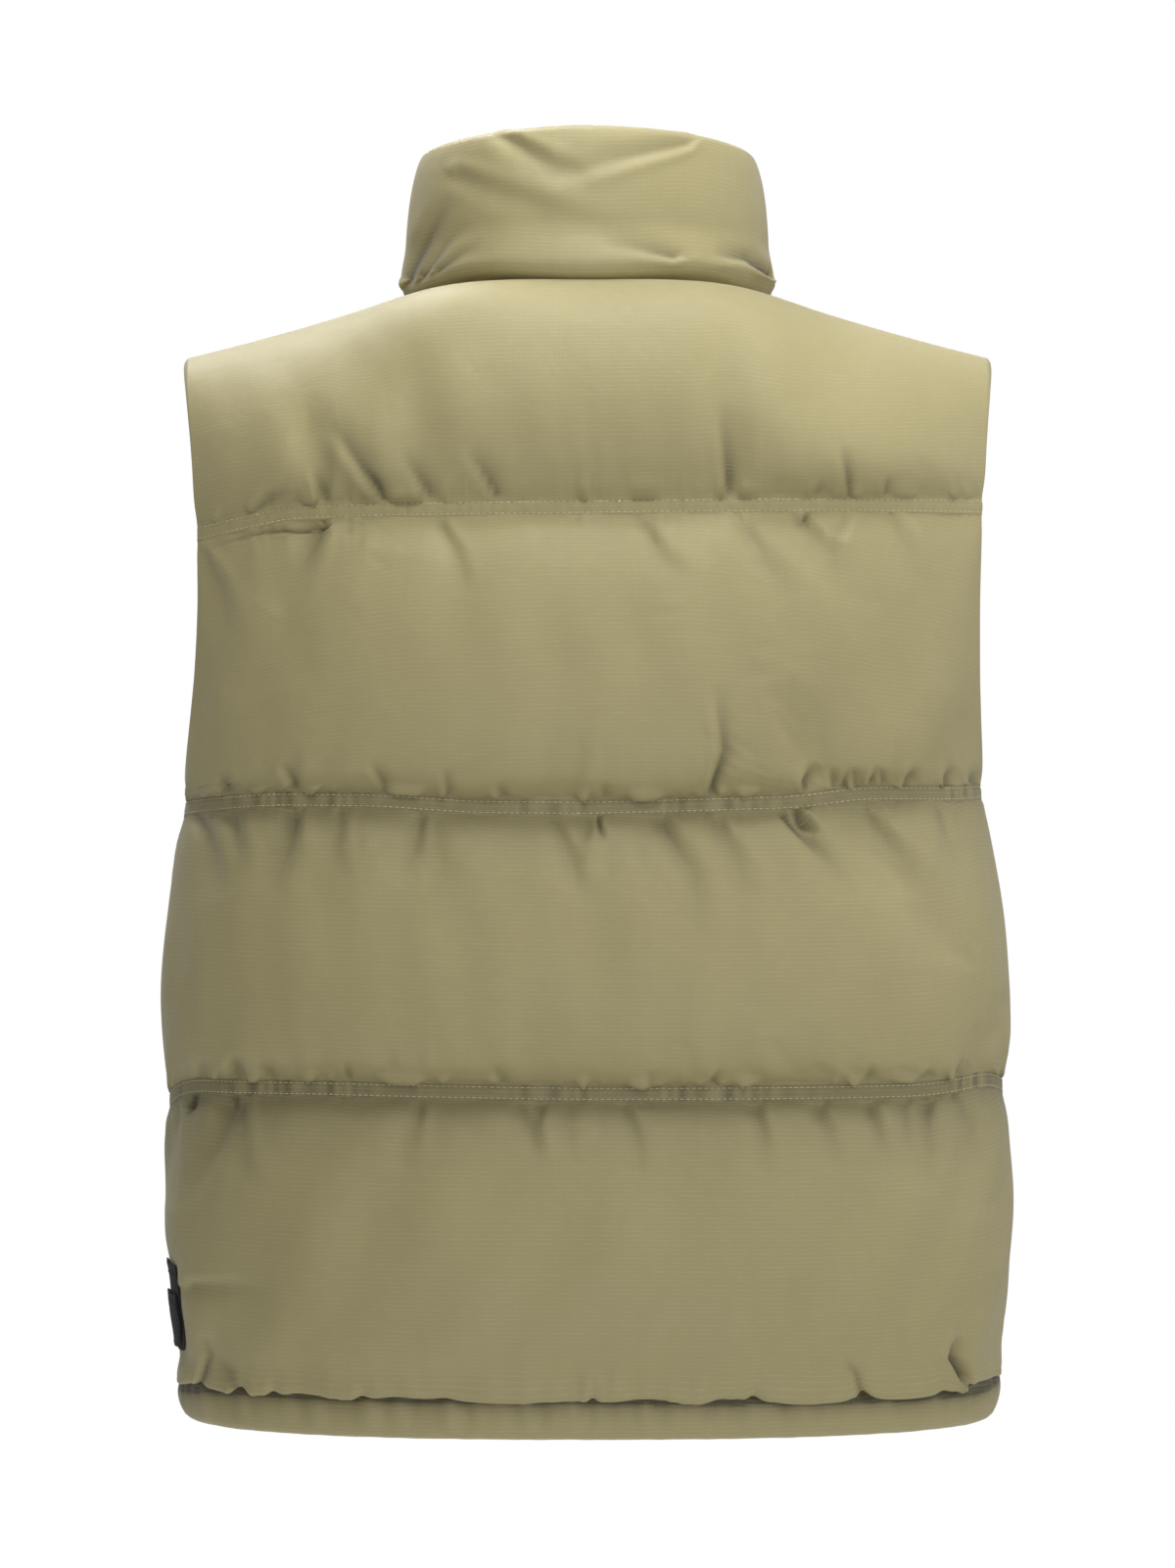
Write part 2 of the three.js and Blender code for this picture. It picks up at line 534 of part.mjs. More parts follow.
function collar() {
  const outer = [];
  const inner = [];
  for (const v of COLLAR.rows) {
    const [outerRow, innerRow] = [[], []];
    for (let k = -COLLAR.steps; k <= COLLAR.steps; k += 1) {
      const around = k / COLLAR.steps;
      const angle = collarAngle(around, v);
      const base = collarBase(around, v);
      const t = radians(angle);
      const level = new THREE.Vector3(Math.sin(t), Math.cos(t), 0);
      const out = neckOut(angle).lerp(level, smooth(v / 0.2)).normalize();
      const toZip = (180 - ZIP_NECK_ANGLE - Math.abs(angle)) * radians(1) * NECK.halfWidth;
      const rise = crownProfile(v) * easeFromEdge(toZip, COLLAR.zipEase);
      const fromDent = Math.hypot(angle / COLLAR_DENT.across, (v - COLLAR_DENT.at) / COLLAR_DENT.reach);
      const crown = COLLAR.crown - COLLAR_DENT.depth * Math.exp(-(fromDent ** 2));
      outerRow.push(base.clone().addScaledVector(out, COLLAR.edge + crown * rise));
      innerRow.push(base.clone().addScaledVector(out, -COLLAR.inner * rise));
    }
    outer.push(outerRow);
    inner.push(innerRow);
  }
  return wallBetween(outer, inner);
}

// The zip's line at the centre front: up the body, over the neck seam and up the collar.
function zipLine() {
  const { body, chest, collar: top } = ZIP_ROWS;
  const line = [];
  for (let k = 0; k <= body; k += 1) {
    line.push(bodyPoint(-1, 0, mix(HEM_BOTTOM, SEAMS[0].level, k / body)).point);
  }
  for (let k = 1; k <= chest; k += 1) line.push(yokePoint(-1, 0, (FRONT_NECK[0].v * k) / chest));
  for (let k = 1; k <= top; k += 1) line.push(collarBase(1, k / top));
  return line;
}
const ZIP_LINE = zipLine();

// A strip along the zip's line, between two widths and two depths before the base.
function zipStrip(from, to, back, front, line) {
  const layer = (depth) => line.map((p) => [from, to].map((x) => new THREE.Vector3(x, p.y - depth, p.z)));
  return wallBetween(layer(front), layer(back));
}

// manifold-3d joins the hard pieces of the slider and its pull.
function solid(geometry) {
  const { position } = (geometry.index ? geometry.toNonIndexed() : geometry).attributes;
  const keys = new Map();
  const points = [];
  const triVerts = [];
  for (let k = 0; k < position.count; k += 1) {
    const p = [position.getX(k), position.getY(k), position.getZ(k)];
    const key = p.map((n) => Math.round(n * 1e4)).join();
    if (!keys.has(key)) {
      keys.set(key, points.length / 3);
      points.push(...p);
    }
    triVerts.push(keys.get(key));
  }
  return new wasm.Manifold(new wasm.Mesh({
    numProp: 3, vertProperties: new Float32Array(points), triVerts: new Uint32Array(triVerts) }));
}

function geometryOf(manifold) {
  const mesh = manifold.getMesh();
  const geometry = new THREE.BufferGeometry();
  const points = new Float32Array(mesh.numVert * 3);
  for (let k = 0; k < mesh.numVert; k += 1) {
    for (let n = 0; n < 3; n += 1) points[3 * k + n] = mesh.vertProperties[k * mesh.numProp + n];
  }
  geometry.setAttribute('position', new THREE.BufferAttribute(points, 3));
  geometry.setIndex([...mesh.triVerts]);
  return geometry;
}

// A plate in the plane of the zip: an outline in width and height, thickened from one depth to
// another before the chosen origin.
function plate(outline, back, front, origin) {
  const options = { depth: front - back, bevelEnabled: false, curveSegments: 5 };
  const geometry = new THREE.ExtrudeGeometry(outline, options);
  geometry.rotateX(Math.PI / 2);
  geometry.translate(origin.x, origin.y - back, origin.z);
  return solid(geometry);
}

function roundedOutline(halfWidth, low, high, radius) {
  const shape = new THREE.Shape();
  shape.moveTo(-halfWidth, low + radius);
  shape.lineTo(-halfWidth, high - radius);
  shape.absarc(-halfWidth + radius, high - radius, radius, Math.PI, Math.PI / 2, true);
  shape.absarc(halfWidth - radius, high - radius, radius, Math.PI / 2, 0, true);
  shape.lineTo(halfWidth, low + radius);
  shape.absarc(halfWidth - radius, low + radius, radius, 0, -Math.PI / 2, true);
  shape.absarc(-halfWidth + radius, low + radius, radius, -Math.PI / 2, -Math.PI, true);
  return shape;
}

// Slider and pull. The chain passes between the slider's two plates, and the pull's crossbar
// turns in the arch on the front plate.
const SLIDER = { halfWidth: 4.7, low: -7, high: 6, plate: 1.3, gap: 3.2, post: 1.4 };
const ARCH = { halfWidth: 0.9, half: 3.4, height: 3.2, wall: 1.1 };
const PULL = { bar: 0.7, halfWidth: 3.6, leg: 1.3, length: 30, slot: 4.4, thickness: 1.4 };
const CHAIN = { back: 0.9, front: 3.1 };
const SLIDER_SHARE = 0.86; // place on the collar's height

const sliderBase = collarBase(1, SLIDER_SHARE);
const sliderAt = new THREE.Vector3(0, sliderBase.y, sliderBase.z);
const frontFace = (CHAIN.back + CHAIN.front) / 2 + SLIDER.gap / 2 + SLIDER.plate;
const barCentre = new THREE.Vector3(0, sliderAt.y - frontFace - (ARCH.height - ARCH.wall) / 2, sliderAt.z);

function slider() {
  const middle = (CHAIN.back + CHAIN.front) / 2;
  const outline = roundedOutline(SLIDER.halfWidth, SLIDER.low, SLIDER.high, 2.2);
  const front = plate(outline, middle + SLIDER.gap / 2, frontFace, sliderAt);
  const back = plate(outline, middle - SLIDER.gap / 2 - SLIDER.plate, middle - SLIDER.gap / 2, sliderAt);
  const post = plate(roundedOutline(SLIDER.post, SLIDER.high - 4, SLIDER.high - 0.4, 0.6),
    middle - SLIDER.gap / 2 - SLIDER.plate / 2, middle + SLIDER.gap / 2 + SLIDER.plate / 2, sliderAt);
  const sunk = 0.4; // the arch's feet go this far into the front plate
  const block = new THREE.BoxGeometry(2 * ARCH.halfWidth, ARCH.height + sunk, 2 * ARCH.half);
  block.translate(0, sliderAt.y - frontFace - (ARCH.height - sunk) / 2, sliderAt.z);
  const hollow = new THREE.BoxGeometry(
    4 * ARCH.halfWidth, ARCH.height - ARCH.wall, 2 * (ARCH.half - ARCH.wall));
  hollow.translate(0, sliderAt.y - frontFace - (ARCH.height - ARCH.wall) / 2, sliderAt.z);
  return geometryOf(front.add(back).add(post).add(solid(block).subtract(solid(hollow))));
}

function pull() {
  const outline = roundedOutline(PULL.halfWidth, -PULL.length, PULL.bar, 0.7);
  const slot = new THREE.Path();
  const inner = PULL.halfWidth - PULL.leg;
  slot.moveTo(-inner, -PULL.bar);
  slot.lineTo(-inner, -PULL.slot);
  slot.lineTo(inner, -PULL.slot);
  slot.lineTo(inner, -PULL.bar);
  outline.holes.push(slot);
  return geometryOf(plate(outline, -PULL.thickness / 2, PULL.thickness / 2, barCentre));
}

// The plain black tab on the wearer's left side: two layers over the side seam, made from the
// last baffle's own points, moved out. Distances run round the body from the side seam, back
// first, and every layer's lower end is rounded.
const TAB = {
  back: 57, front: 12, low: -594, corner: 16, roundness: 0.98, bridge: 20,
  columns: 10, rows: 7, crowding: 1.6,
};
const TAB_LAYERS = [
  { name: 'side_tab', high: -546, inset: 0, lift: 0.5, thickness: 1.5 },
  { name: 'side_tab_face', high: -563, inset: 2, lift: 2.7, thickness: 1.6 },
];

// The outer face of the last baffle at a distance round from the left side seam, whose groove
// it bridges.
function lastBaffleFace(distance, z) {
  const side = distance >= 0 ? 1 : -1;
  const { length } = bodyPoint(side, 1, z);
  const s = 1 - Math.abs(distance) / length;
  const low = seamAt(3, side, s) + SEAM_GAP;
  const high = seamAt(2, side, s);
  const share = (z - low) / (high - low);
  const { point, out } = bodyPoint(side, s, z);
  const ease = easeFromEdge(Math.max(Math.abs(distance), TAB.bridge), SIDE_EASE);
  const rise = CROWN.back * crownProfile(share) * ease;
  return { point: point.clone().addScaledVector(out, PRESSED + rise), out };
}

function sideTab({ high, inset, lift, thickness }) {
  const middle = (TAB.back + TAB.front) / 2;
  const half = (TAB.back - TAB.front) / 2 - inset;
  const outer = [];
  const inner = [];
  for (let row = 0; row <= TAB.rows; row += 1) {
    const [outerRow, innerRow] = [[], []];
    const z = mix(TAB.low + inset, high, (row / TAB.rows) ** TAB.crowding);
    const below = clamp((TAB.low + inset + TAB.corner - z) / TAB.corner) * TAB.roundness;
    const halfHere = half - TAB.corner * (1 - Math.sqrt(1 - below * below));
    for (let column = 0; column <= TAB.columns; column += 1) {
      const distance = middle + halfHere * (1 - (2 * column) / TAB.columns);
      const { point, out } = lastBaffleFace(distance, z);
      innerRow.push(point.clone().addScaledVector(out, lift));
      outerRow.push(point.clone().addScaledVector(out, lift + thickness));
    }
    outer.push(outerRow);
    inner.push(innerRow);
  }
  return wallBetween(outer, inner);
}

// Back
add('back_yoke', yoke(1, yokeColumns(1, BACK_FOLDS), BACK_FOLDS), FINISH.shell);
for (const number of [2, 3, 4]) {
  const columns = columnsOf(BACK_STEPS, -1, BACK_FOLDS, number);
  add(`back_baffle_${number}`, baffle(number, 1, columns, BACK_FOLDS), FINISH.shell);
}
add('back_hem', hemBand(1, columnsOf(BACK_STEPS, -1, [], 0)), FINISH.shell);

// Fronts
for (const [label, sign] of [['left', 1], ['right', -1]]) {
  const folds = FRONT_FOLDS.map((fold) => ({ ...fold, at: fold.at * sign, lean: fold.lean * sign }));
  const placed = (columns) => (sign > 0 ? columns : overToRight(columns));
  add(`front_${label}_yoke`, yoke(-1, placed(yokeColumns(-1, FRONT_FOLDS)), folds), FINISH.shell);
  for (const number of [2, 3, 4]) {
    const columns = placed(columnsOf(FRONT_STEPS, 0, FRONT_FOLDS, number));
    add(`front_${label}_baffle_${number}`, baffle(number, -1, columns, folds), FINISH.shell);
  }
  add(`front_${label}_hem`, hemBand(-1, placed(columnsOf(FRONT_STEPS, 0, [], 0))), FINISH.shell);
}

add('collar', collar(), FINISH.shell);

// Zip
add('zip_tape_left', zipStrip(ZIP.tape, ZIP.half - SEAM_GAP, ...ZIP.tapeDepths, ZIP_LINE), FINISH.tape);
add('zip_tape_right', zipStrip(SEAM_GAP - ZIP.half, -ZIP.tape, ...ZIP.tapeDepths, ZIP_LINE), FINISH.tape);
const chainTop = sliderAt.z + 1;
const chainBottom = HEM_BOTTOM + 12;
const chainLine = ZIP_LINE.filter((p) => p.z > chainBottom && p.z < chainTop);
chainLine.push(new THREE.Vector3(0, sliderAt.y, chainTop));
add('zip_teeth', zipStrip(-ZIP.chain, ZIP.chain, CHAIN.back, CHAIN.front, chainLine), FINISH.teeth);
add('zip_slider', slider(), FINISH.metal);
add('zip_pull', pull(), FINISH.metal);

for (const layer of TAB_LAYERS) add(layer.name, sideTab(layer), FINISH.black);

export default vest;
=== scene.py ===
# %% [markdown]
# # A padded stand-collar vest
# The vest is shown as worn, with no wearer: a yoke and three wide quilted baffles on the back and on
# each front, a padded collar, a hem band, a centre zip and a small black side tab.
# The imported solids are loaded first. Each padded wall below is worked out as a grid of points on
# the same forms, puffed up by a short cloth simulation, and put in the solid's place.
# Lengths are in millimetres until a mesh is made. +Z is up, the front faces -Y.

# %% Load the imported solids
import math

import bpy
import numpy as np
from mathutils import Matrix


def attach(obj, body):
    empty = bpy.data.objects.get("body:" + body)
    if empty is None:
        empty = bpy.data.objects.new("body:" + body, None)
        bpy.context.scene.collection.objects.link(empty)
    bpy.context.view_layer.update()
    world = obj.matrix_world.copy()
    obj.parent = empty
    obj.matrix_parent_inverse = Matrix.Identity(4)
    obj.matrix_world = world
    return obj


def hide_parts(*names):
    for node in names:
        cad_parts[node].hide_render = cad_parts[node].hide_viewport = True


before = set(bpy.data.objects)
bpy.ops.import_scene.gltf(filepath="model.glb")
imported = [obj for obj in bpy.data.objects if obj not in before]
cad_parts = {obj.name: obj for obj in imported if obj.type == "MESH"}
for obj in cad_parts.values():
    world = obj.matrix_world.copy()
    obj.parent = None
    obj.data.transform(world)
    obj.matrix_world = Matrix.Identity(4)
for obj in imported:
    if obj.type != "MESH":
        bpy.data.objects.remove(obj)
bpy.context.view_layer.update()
MM = 0.001

# %% [markdown]
# ## Camera, light and floor
# The picture is taken from behind, level with the middle of the back, from three metres away. A long
# lens keeps the sides nearly parallel. The light is a large soft lamp overhead, others all round, a
# gridded one on the shoulders and a white surround, as such garments are lit for a catalogue.

# %% Camera
PICTURE = (1200, 1601)
CAMERA = {"distance": 3.0, "height": -0.2808, "sensor": 36.0, "seen": 0.8806}
scene = bpy.context.scene
camera_data = bpy.data.cameras.new("camera")
camera_data.sensor_width = CAMERA["sensor"]
camera_data.lens = CAMERA["sensor"] * CAMERA["distance"] / CAMERA["seen"]
camera = bpy.data.objects.new("camera", camera_data)
camera.location = (0, CAMERA["distance"], CAMERA["height"])
camera.rotation_euler = (math.radians(90), 0, math.radians(180))
scene.collection.objects.link(camera)
scene.camera = camera
PIXEL = CAMERA["seen"] * 1000 / PICTURE[1]


def picture_place(points):
    """Picture pixel of each point: its offset from the view's axis, scaled by distance over depth."""
    depth = CAMERA["distance"] * 1000 - points[..., 1]
    scale = CAMERA["distance"] * 1000 / depth / PIXEL
    across = PICTURE[0] / 2 + 0.5 - points[..., 0] * scale
    down = PICTURE[1] / 2 - (points[..., 2] - CAMERA["height"] * 1000) * scale
    return across, down


print(f"lens {camera_data.lens:.1f} mm, {PIXEL:.3f} mm a pixel")

# %% Light
scene.view_settings.view_transform = "Standard"
SURROUND = {"seen": 1.0, "cast": 0.31}
world = bpy.data.worlds.new("surround")
world.use_nodes = True
ray = world.node_tree.nodes.new("ShaderNodeLightPath")
level = world.node_tree.nodes.new("ShaderNodeMapRange")
level.inputs["To Min"].default_value = SURROUND["cast"]
level.inputs["To Max"].default_value = SURROUND["seen"]
world.node_tree.links.new(ray.outputs["Is Camera Ray"], level.inputs["Value"])
background = world.node_tree.nodes["Background"]
background.inputs["Color"].default_value = (1, 1, 1, 1)
world.node_tree.links.new(level.outputs["Result"], background.inputs["Strength"])
scene.world = world


def add_lamp(name, place, aim, size, watts, spread=180):
    """A square lamp at a place, turned so that its face looks at the aim. The spread in degrees is
    narrow for a lamp behind a grid."""
    data = bpy.data.lights.new(name, "AREA")
    data.size = size
    data.energy = watts
    data.spread = math.radians(spread)
    lamp = bpy.data.objects.new(name, data)
    lamp.location = place
    away = np.array(aim, float) - np.array(place, float)
    flat = math.hypot(away[0], away[1])
    lamp.rotation_euler = (math.atan2(flat, -away[2]), 0, math.atan2(away[0], -away[1]) + math.pi)
    scene.collection.objects.link(lamp)


add_lamp("lamp_overhead", (-0.3, 0.4, 1.6), (0, 0, -0.2), 1.0, 23.5)
add_lamp("lamp_before", (0.8, -1.3, 2.0), (0, 0, -0.2), 1.2, 46)
add_lamp("lamp_right", (-1.8, 1.8, 0.3), (0, 0, -0.3), 1.2, 8)
add_lamp("lamp_side", (-2.2, 0.2, 0.3), (0, 0, -0.3), 1.2, 7)
add_lamp("lamp_low", (-0.3, 2.4, -1.1), (0, 0, -0.4), 1.0, 13)
add_lamp("lamp_shoulders", (0.1, 1.5, 1.3), (0, 0.08, 0.05), 0.5, 0.4, spread=22)
print(len(bpy.data.lights), "lamps and a white surround")

# %% [markdown]
# ## The body's form
# A worn vest is a rounded box in section: wider than deep, flat over the back, turning quickly at
# the sides. Its half width and depths are read from a table by height, and the section between
# is a superellipse. Panels are measured by their share of the way from the centre to the side
# seam, because cloth keeps its length as it goes round.

# %% The section table
HEM_BOTTOM = -633
SEAM_GAP = 0.04
PRESSED = 3  # thickness of the cloth where it is sewn flat
FELL = 7.5  # height of a felled strip
LAP = 0.9  # how far the strip's fold laps over the cloth below it
SECTION_POWER = 2.4
BACK, FRONT = 1, -1
PANELS = ((BACK, "back"), (FRONT, "front_left"), (FRONT, "front_right"))
CROWN = {BACK: 22, FRONT: 20}
ZIP_HALF = 8
ZIP_SHARE = 0.004  # the share of a front at which it starts beside the zip
UNDERARM = -283
ARMHOLE_ANGLE = 60
EDGE_THICKNESS = 6
# height, outer half width, depth behind, depth before, lean to the left
SECTIONS = np.array([
    (-645, 226.0, 121, 122, -0.8), (-620, 229.5, 123, 124, -0.8), (-600, 230.5, 124, 126, -0.6),
    (-560, 234.0, 124, 128, 0.0), (-500, 236.5, 123, 128, 0.3), (-440, 236.0, 121, 128, 0.8),
    (-390, 235.0, 119, 128, 1.6), (-340, 231.5, 118, 127, 2.0), (-290, 226.0, 118, 126, 2.3),
    (-245, 219.5, 119, 124, 1.0), (-200, 217.0, 121, 121, -0.5), (-160, 217.5, 123, 116, -0.8),
    (-120, 220.5, 123, 109, -0.6),
])
HALF, BEHIND, BEFORE, LEAN = 1, 2, 3, 4
SEAM_LEVELS = (-135, -297, -451, -607)
WANDER = (
    ((-1, 3), (-0.6, 2), (0, 0), (0.5, -1), (0.72, -2), (0.86, -7), (1, -12)),
    ((-1, 9), (-0.75, 7.5), (-0.55, 8), (-0.4, 3), (0, 0), (0.22, 0.5), (0.4, 4), (0.62, 4.5), (1, -2)),
    ((-1, -4), (-0.82, 4.5), (-0.65, 0), (0, 0), (0.5, 2), (0.8, 1), (1, -13)),
    ((-1, 1), (-0.8, -3), (0, 0), (0.7, 0), (1, -7)),
)


def mix(a, b, t):
    """The value a share t of the way from a to b."""
    return a + (b - a) * t


def smooth(t):
    """An ease from 0 to 1 whose ends are level: 3t^2 - 2t^3."""
    t = np.clip(t, 0, 1)
    return t * t * (3 - 2 * t)


def unit(v):
    """Each vector divided by its length."""
    return v / np.maximum(np.linalg.norm(v, axis=-1, keepdims=True), 1e-9)


def bell(x, width):
    """One at 0, and next to nothing two widths away: exp(-(x / width)^2)."""
    return np.exp(-((x / width) ** 2))


def grown(x, reach):
    """Nothing up to 0, then towards 1 with the distance: 1 - exp(-x / reach)."""
    return 1 - np.exp(-np.maximum(x, 0) / reach)


def arc_length(points, axis):
    """Distance along a line or grid from its first point, row or column: the sum of its steps."""
    step = np.linalg.norm(np.diff(points, axis=axis), axis=-1)
    zero = np.zeros_like(np.take(step, [0], axis=axis))
    return np.concatenate([zero, np.cumsum(step, axis=axis)], axis=axis)


def section_size(column, z):
    """A column of the table at heights z, averaged over 44 mm so that its corners are round."""
    offsets = (-22, -11, 0, 11, 22)
    return np.mean([np.interp(z + o, SECTIONS[:, 0], SECTIONS[:, column]) for o in offsets], axis=0)


def edge_angle(z):
    """Degrees round the section to the side seam, or to the armhole's quarter-ellipse edge."""
    t = np.clip((SEAM_LEVELS[0] - z) / (SEAM_LEVELS[0] - UNDERARM), 0, 1)
    return np.where(z <= UNDERARM, 90, ARMHOLE_ANGLE + (90 - ARMHOLE_ANGLE) * (1 - np.sqrt(1 - t * t)))


TABLE_Z = np.arange(-660.0, -95.0)
TABLE_S = np.linspace(0, 1, 129)


def body_table(side):
    """Points of the section at each height, x = w sin^p and y = d cos^p, spaced evenly by length."""
    z = TABLE_Z[:, None]
    power = 2 / SECTION_POWER
    depth = section_size(BEHIND if side > 0 else BEFORE, z)
    last = np.radians(edge_angle(z))
    width = (section_size(HALF, z) - EDGE_THICKNESS) / np.sin(last) ** power
    first = np.arcsin(((0 if side > 0 else ZIP_HALF) / width) ** (1 / power))
    angle = mix(first, last, np.linspace(0, 1, 121)[None] ** 1.3)
    x = width * np.sin(angle) ** power
    y = depth * np.maximum(np.cos(angle), 0) ** power
    step = np.hypot(np.diff(x, axis=1), np.diff(y, axis=1))
    length = np.concatenate([np.zeros_like(z), np.cumsum(step, axis=1)], axis=1)
    even = [[np.interp(TABLE_S * row[-1], row, values) for values in (xs, ys)]
            for row, xs, ys in zip(length, x, y)]
    return {"points": np.array(even), "width": width[:, 0], "depth": depth[:, 0], "length": length[:, -1]}


BODY = {side: body_table(side) for side in (BACK, FRONT)}


def body_point(side, s, z):
    """The base at share s and height z, read between the table's entries, with the way out and the
    panel's length. The way out is the superellipse's own normal."""
    s, z = np.broadcast_arrays(np.asarray(s, float), np.asarray(z, float))
    table = BODY[side]
    row = np.clip(z - TABLE_Z[0], 0, len(TABLE_Z) - 1.001)
    column = np.clip(np.abs(s) * (len(TABLE_S) - 1), 0, len(TABLE_S) - 1.001)
    r, c = row.astype(int), column.astype(int)
    fr, fc = row - r, column - c
    points = table["points"]
    x, y = (mix(mix(points[r, k, c], points[r, k, c + 1], fc),
                mix(points[r + 1, k, c], points[r + 1, k, c + 1], fc), fr) for k in (0, 1))
    width, depth, length = (mix(table[k][r], table[k][r + 1], fr) for k in ("width", "depth", "length"))
    sign = np.where(s < 0, -1.0, 1.0)
    out = unit(np.stack([sign * x ** (SECTION_POWER - 1) / width ** SECTION_POWER,
                         side * np.maximum(y, 0) ** (SECTION_POWER - 1) / depth ** SECTION_POWER,
                         np.zeros_like(x)], axis=-1))
    lean = section_size(LEAN, z) * np.abs(s)
    return np.stack([sign * x + lean, side * (y + SEAM_GAP / 2), z], axis=-1), out, length


def seam_height(index, side, s):
    """Height of a quilting seam: its level and how far it wanders above it at each share."""
    at, rise = np.array(WANDER[index]).T
    s = np.asarray(s, float)
    if side < 0:
        return SEAM_LEVELS[index] + np.where(s < 0, rise[0], rise[-1]) * smooth((np.abs(s) - 0.5) * 2)
    return SEAM_LEVELS[index] + np.mean([np.interp(s + o, at, rise) for o in (-0.03, 0, 0.03)], axis=0)


print("back panel", round(float(BODY[BACK]["length"][100])), "mm from the centre to the side seam")

# %% [markdown]
# ## The yoke and the neck
# The yoke goes up over the shoulder. For each column across it, one Hermite curve runs from the first
# seam, straight up at first, to the shoulder's ridge, which it reaches level. The neck opening
# is an ellipse, seen from above, that is cut out of this surface.

# %% Yoke and neck functions
NECK = {"half_width": 97, "half_depth": 90, "centre": -4}
SHOULDER = {"tip": 222, "neck_height": -13, "slope": 0.293, "sag": 6, "thickness": 8}
YOKE_RISE = {BACK: 3.4, FRONT: 2.1, "shoulder": 2}
YOKE_LEVEL = 1.7
YOKE_CROWN = {"full": 0.2, "fades": 0.14, "neck_ease": 16, "neck_turn": 14}
CORNER = NECK["half_width"] / SHOULDER["tip"]


def ridge_height(x):
    """Height of the shoulder's ridge: an arch over the neck, then a slope that sags in the middle."""
    arch = SHOULDER["slope"] * NECK["half_width"] / 2 * (1 - (x / NECK["half_width"]) ** 2)
    t = np.clip((x - NECK["half_width"]) / (SHOULDER["tip"] - NECK["half_width"]), 0, 1)
    sag = SHOULDER["sag"] * np.sin(np.pi * t ** 0.6)
    slope = (x - NECK["half_width"]) * SHOULDER["slope"] + sag
    return SHOULDER["neck_height"] + np.where(x < NECK["half_width"], arch, -slope)


def yoke_point(side, s, v):
    """The yoke's base: a Hermite curve in v from the seam's foot to the ridge, one for each s."""
    s, v = np.broadcast_arrays(np.asarray(s, float), np.asarray(v, float))
    foot = body_point(side, s, seam_height(0, side, s))[0]
    sign = np.where(s < 0, -1.0, 1.0)
    x = np.maximum(np.abs(s) * SHOULDER["tip"], ZIP_HALF if side < 0 else 0)
    zero = np.zeros_like(x)
    ridge = np.stack([sign * x, zero + (NECK["centre"] + side * SEAM_GAP / 2), ridge_height(x)], axis=-1)
    steep = mix(YOKE_RISE[side], YOKE_RISE["shoulder"], smooth((x - 50) / 90))
    start = np.stack([zero, zero, (ridge[..., 2] - foot[..., 2]) * steep], axis=-1)
    end = np.stack([zero, (ridge[..., 1] - foot[..., 1]) * YOKE_LEVEL, zero], axis=-1)
    v = v[..., None]
    return (foot * (2 * v**3 - 3 * v**2 + 1) + start * (v**3 - 2 * v**2 + v)
            + ridge * (3 * v**2 - 2 * v**3) + end * (v**3 - v**2))


def neck_plan(points):
    """Place of each point in the neck's ellipse, seen from above: 1 on the neck seam."""
    return points[..., 0] / NECK["half_width"], (points[..., 1] - NECK["centre"]) / NECK["half_depth"]


def yoke_top(side, s):
    """Where each column enters the neck opening, found by halving, or 1 where it meets the ridge."""
    low, high = np.zeros_like(s), np.ones_like(s)
    for _ in range(26):
        middle = (low + high) / 2
        inside = np.hypot(*neck_plan(yoke_point(side, s, middle))) < 1
        low, high = np.where(inside, low, middle), np.where(inside, middle, high)
    return np.where(np.abs(s) > CORNER - 1e-6, 1, (low + high) / 2)


def neck_table(side):
    """The neck seam's points, shares and angles from the centre line, for half of one side."""
    s = CORNER * np.sin(np.linspace(0 if side > 0 else ZIP_SHARE, math.pi / 2, 161))
    point = yoke_point(side, s, yoke_top(side, s))
    x, y = neck_plan(point)
    return s, point, np.degrees(np.arctan2(x, side * y))


NECK_SEAM = {side: neck_table(side) for side in (BACK, FRONT)}


def neck_height(angle):
    """Height of the neck seam by angle round it from the centre back."""
    size = np.abs(angle)
    heights = [np.interp(a, NECK_SEAM[side][2], NECK_SEAM[side][1][:, 2])
               for side, a in ((BACK, size), (FRONT, 180 - size))]
    return np.where(size <= 90, *heights)


def neck_out(angle):
    """The way both walls lean out at the neck seam."""
    t = np.radians(angle)
    lift = np.radians(mix(15, 36, np.sin(t) ** 2))
    return np.stack([np.sin(t) * np.cos(lift), np.cos(t) * np.cos(lift), np.sin(lift)], axis=-1)


print("neck seam from", round(float(neck_height(0.0))), "to", round(float(neck_height(170.0))), "mm")

# %% [markdown]
# ## Quilted baffles
# A baffle is a tube of cloth filled with wadding, sewn flat along its seams. Its outer face rises
# steeply from each seam and is fullest a little below its middle. The largest folds are troughs
# that start at a seam and fade. This gives the grid's first shape, before any simulation.

# %% Crown, ease and large folds
SIDE_SHARE = 0.1
SIDE_EASE = 72
ZIP_EASE = 16
CROWN_SKEW = 0.82
CROWN_FULLNESS = 0.5
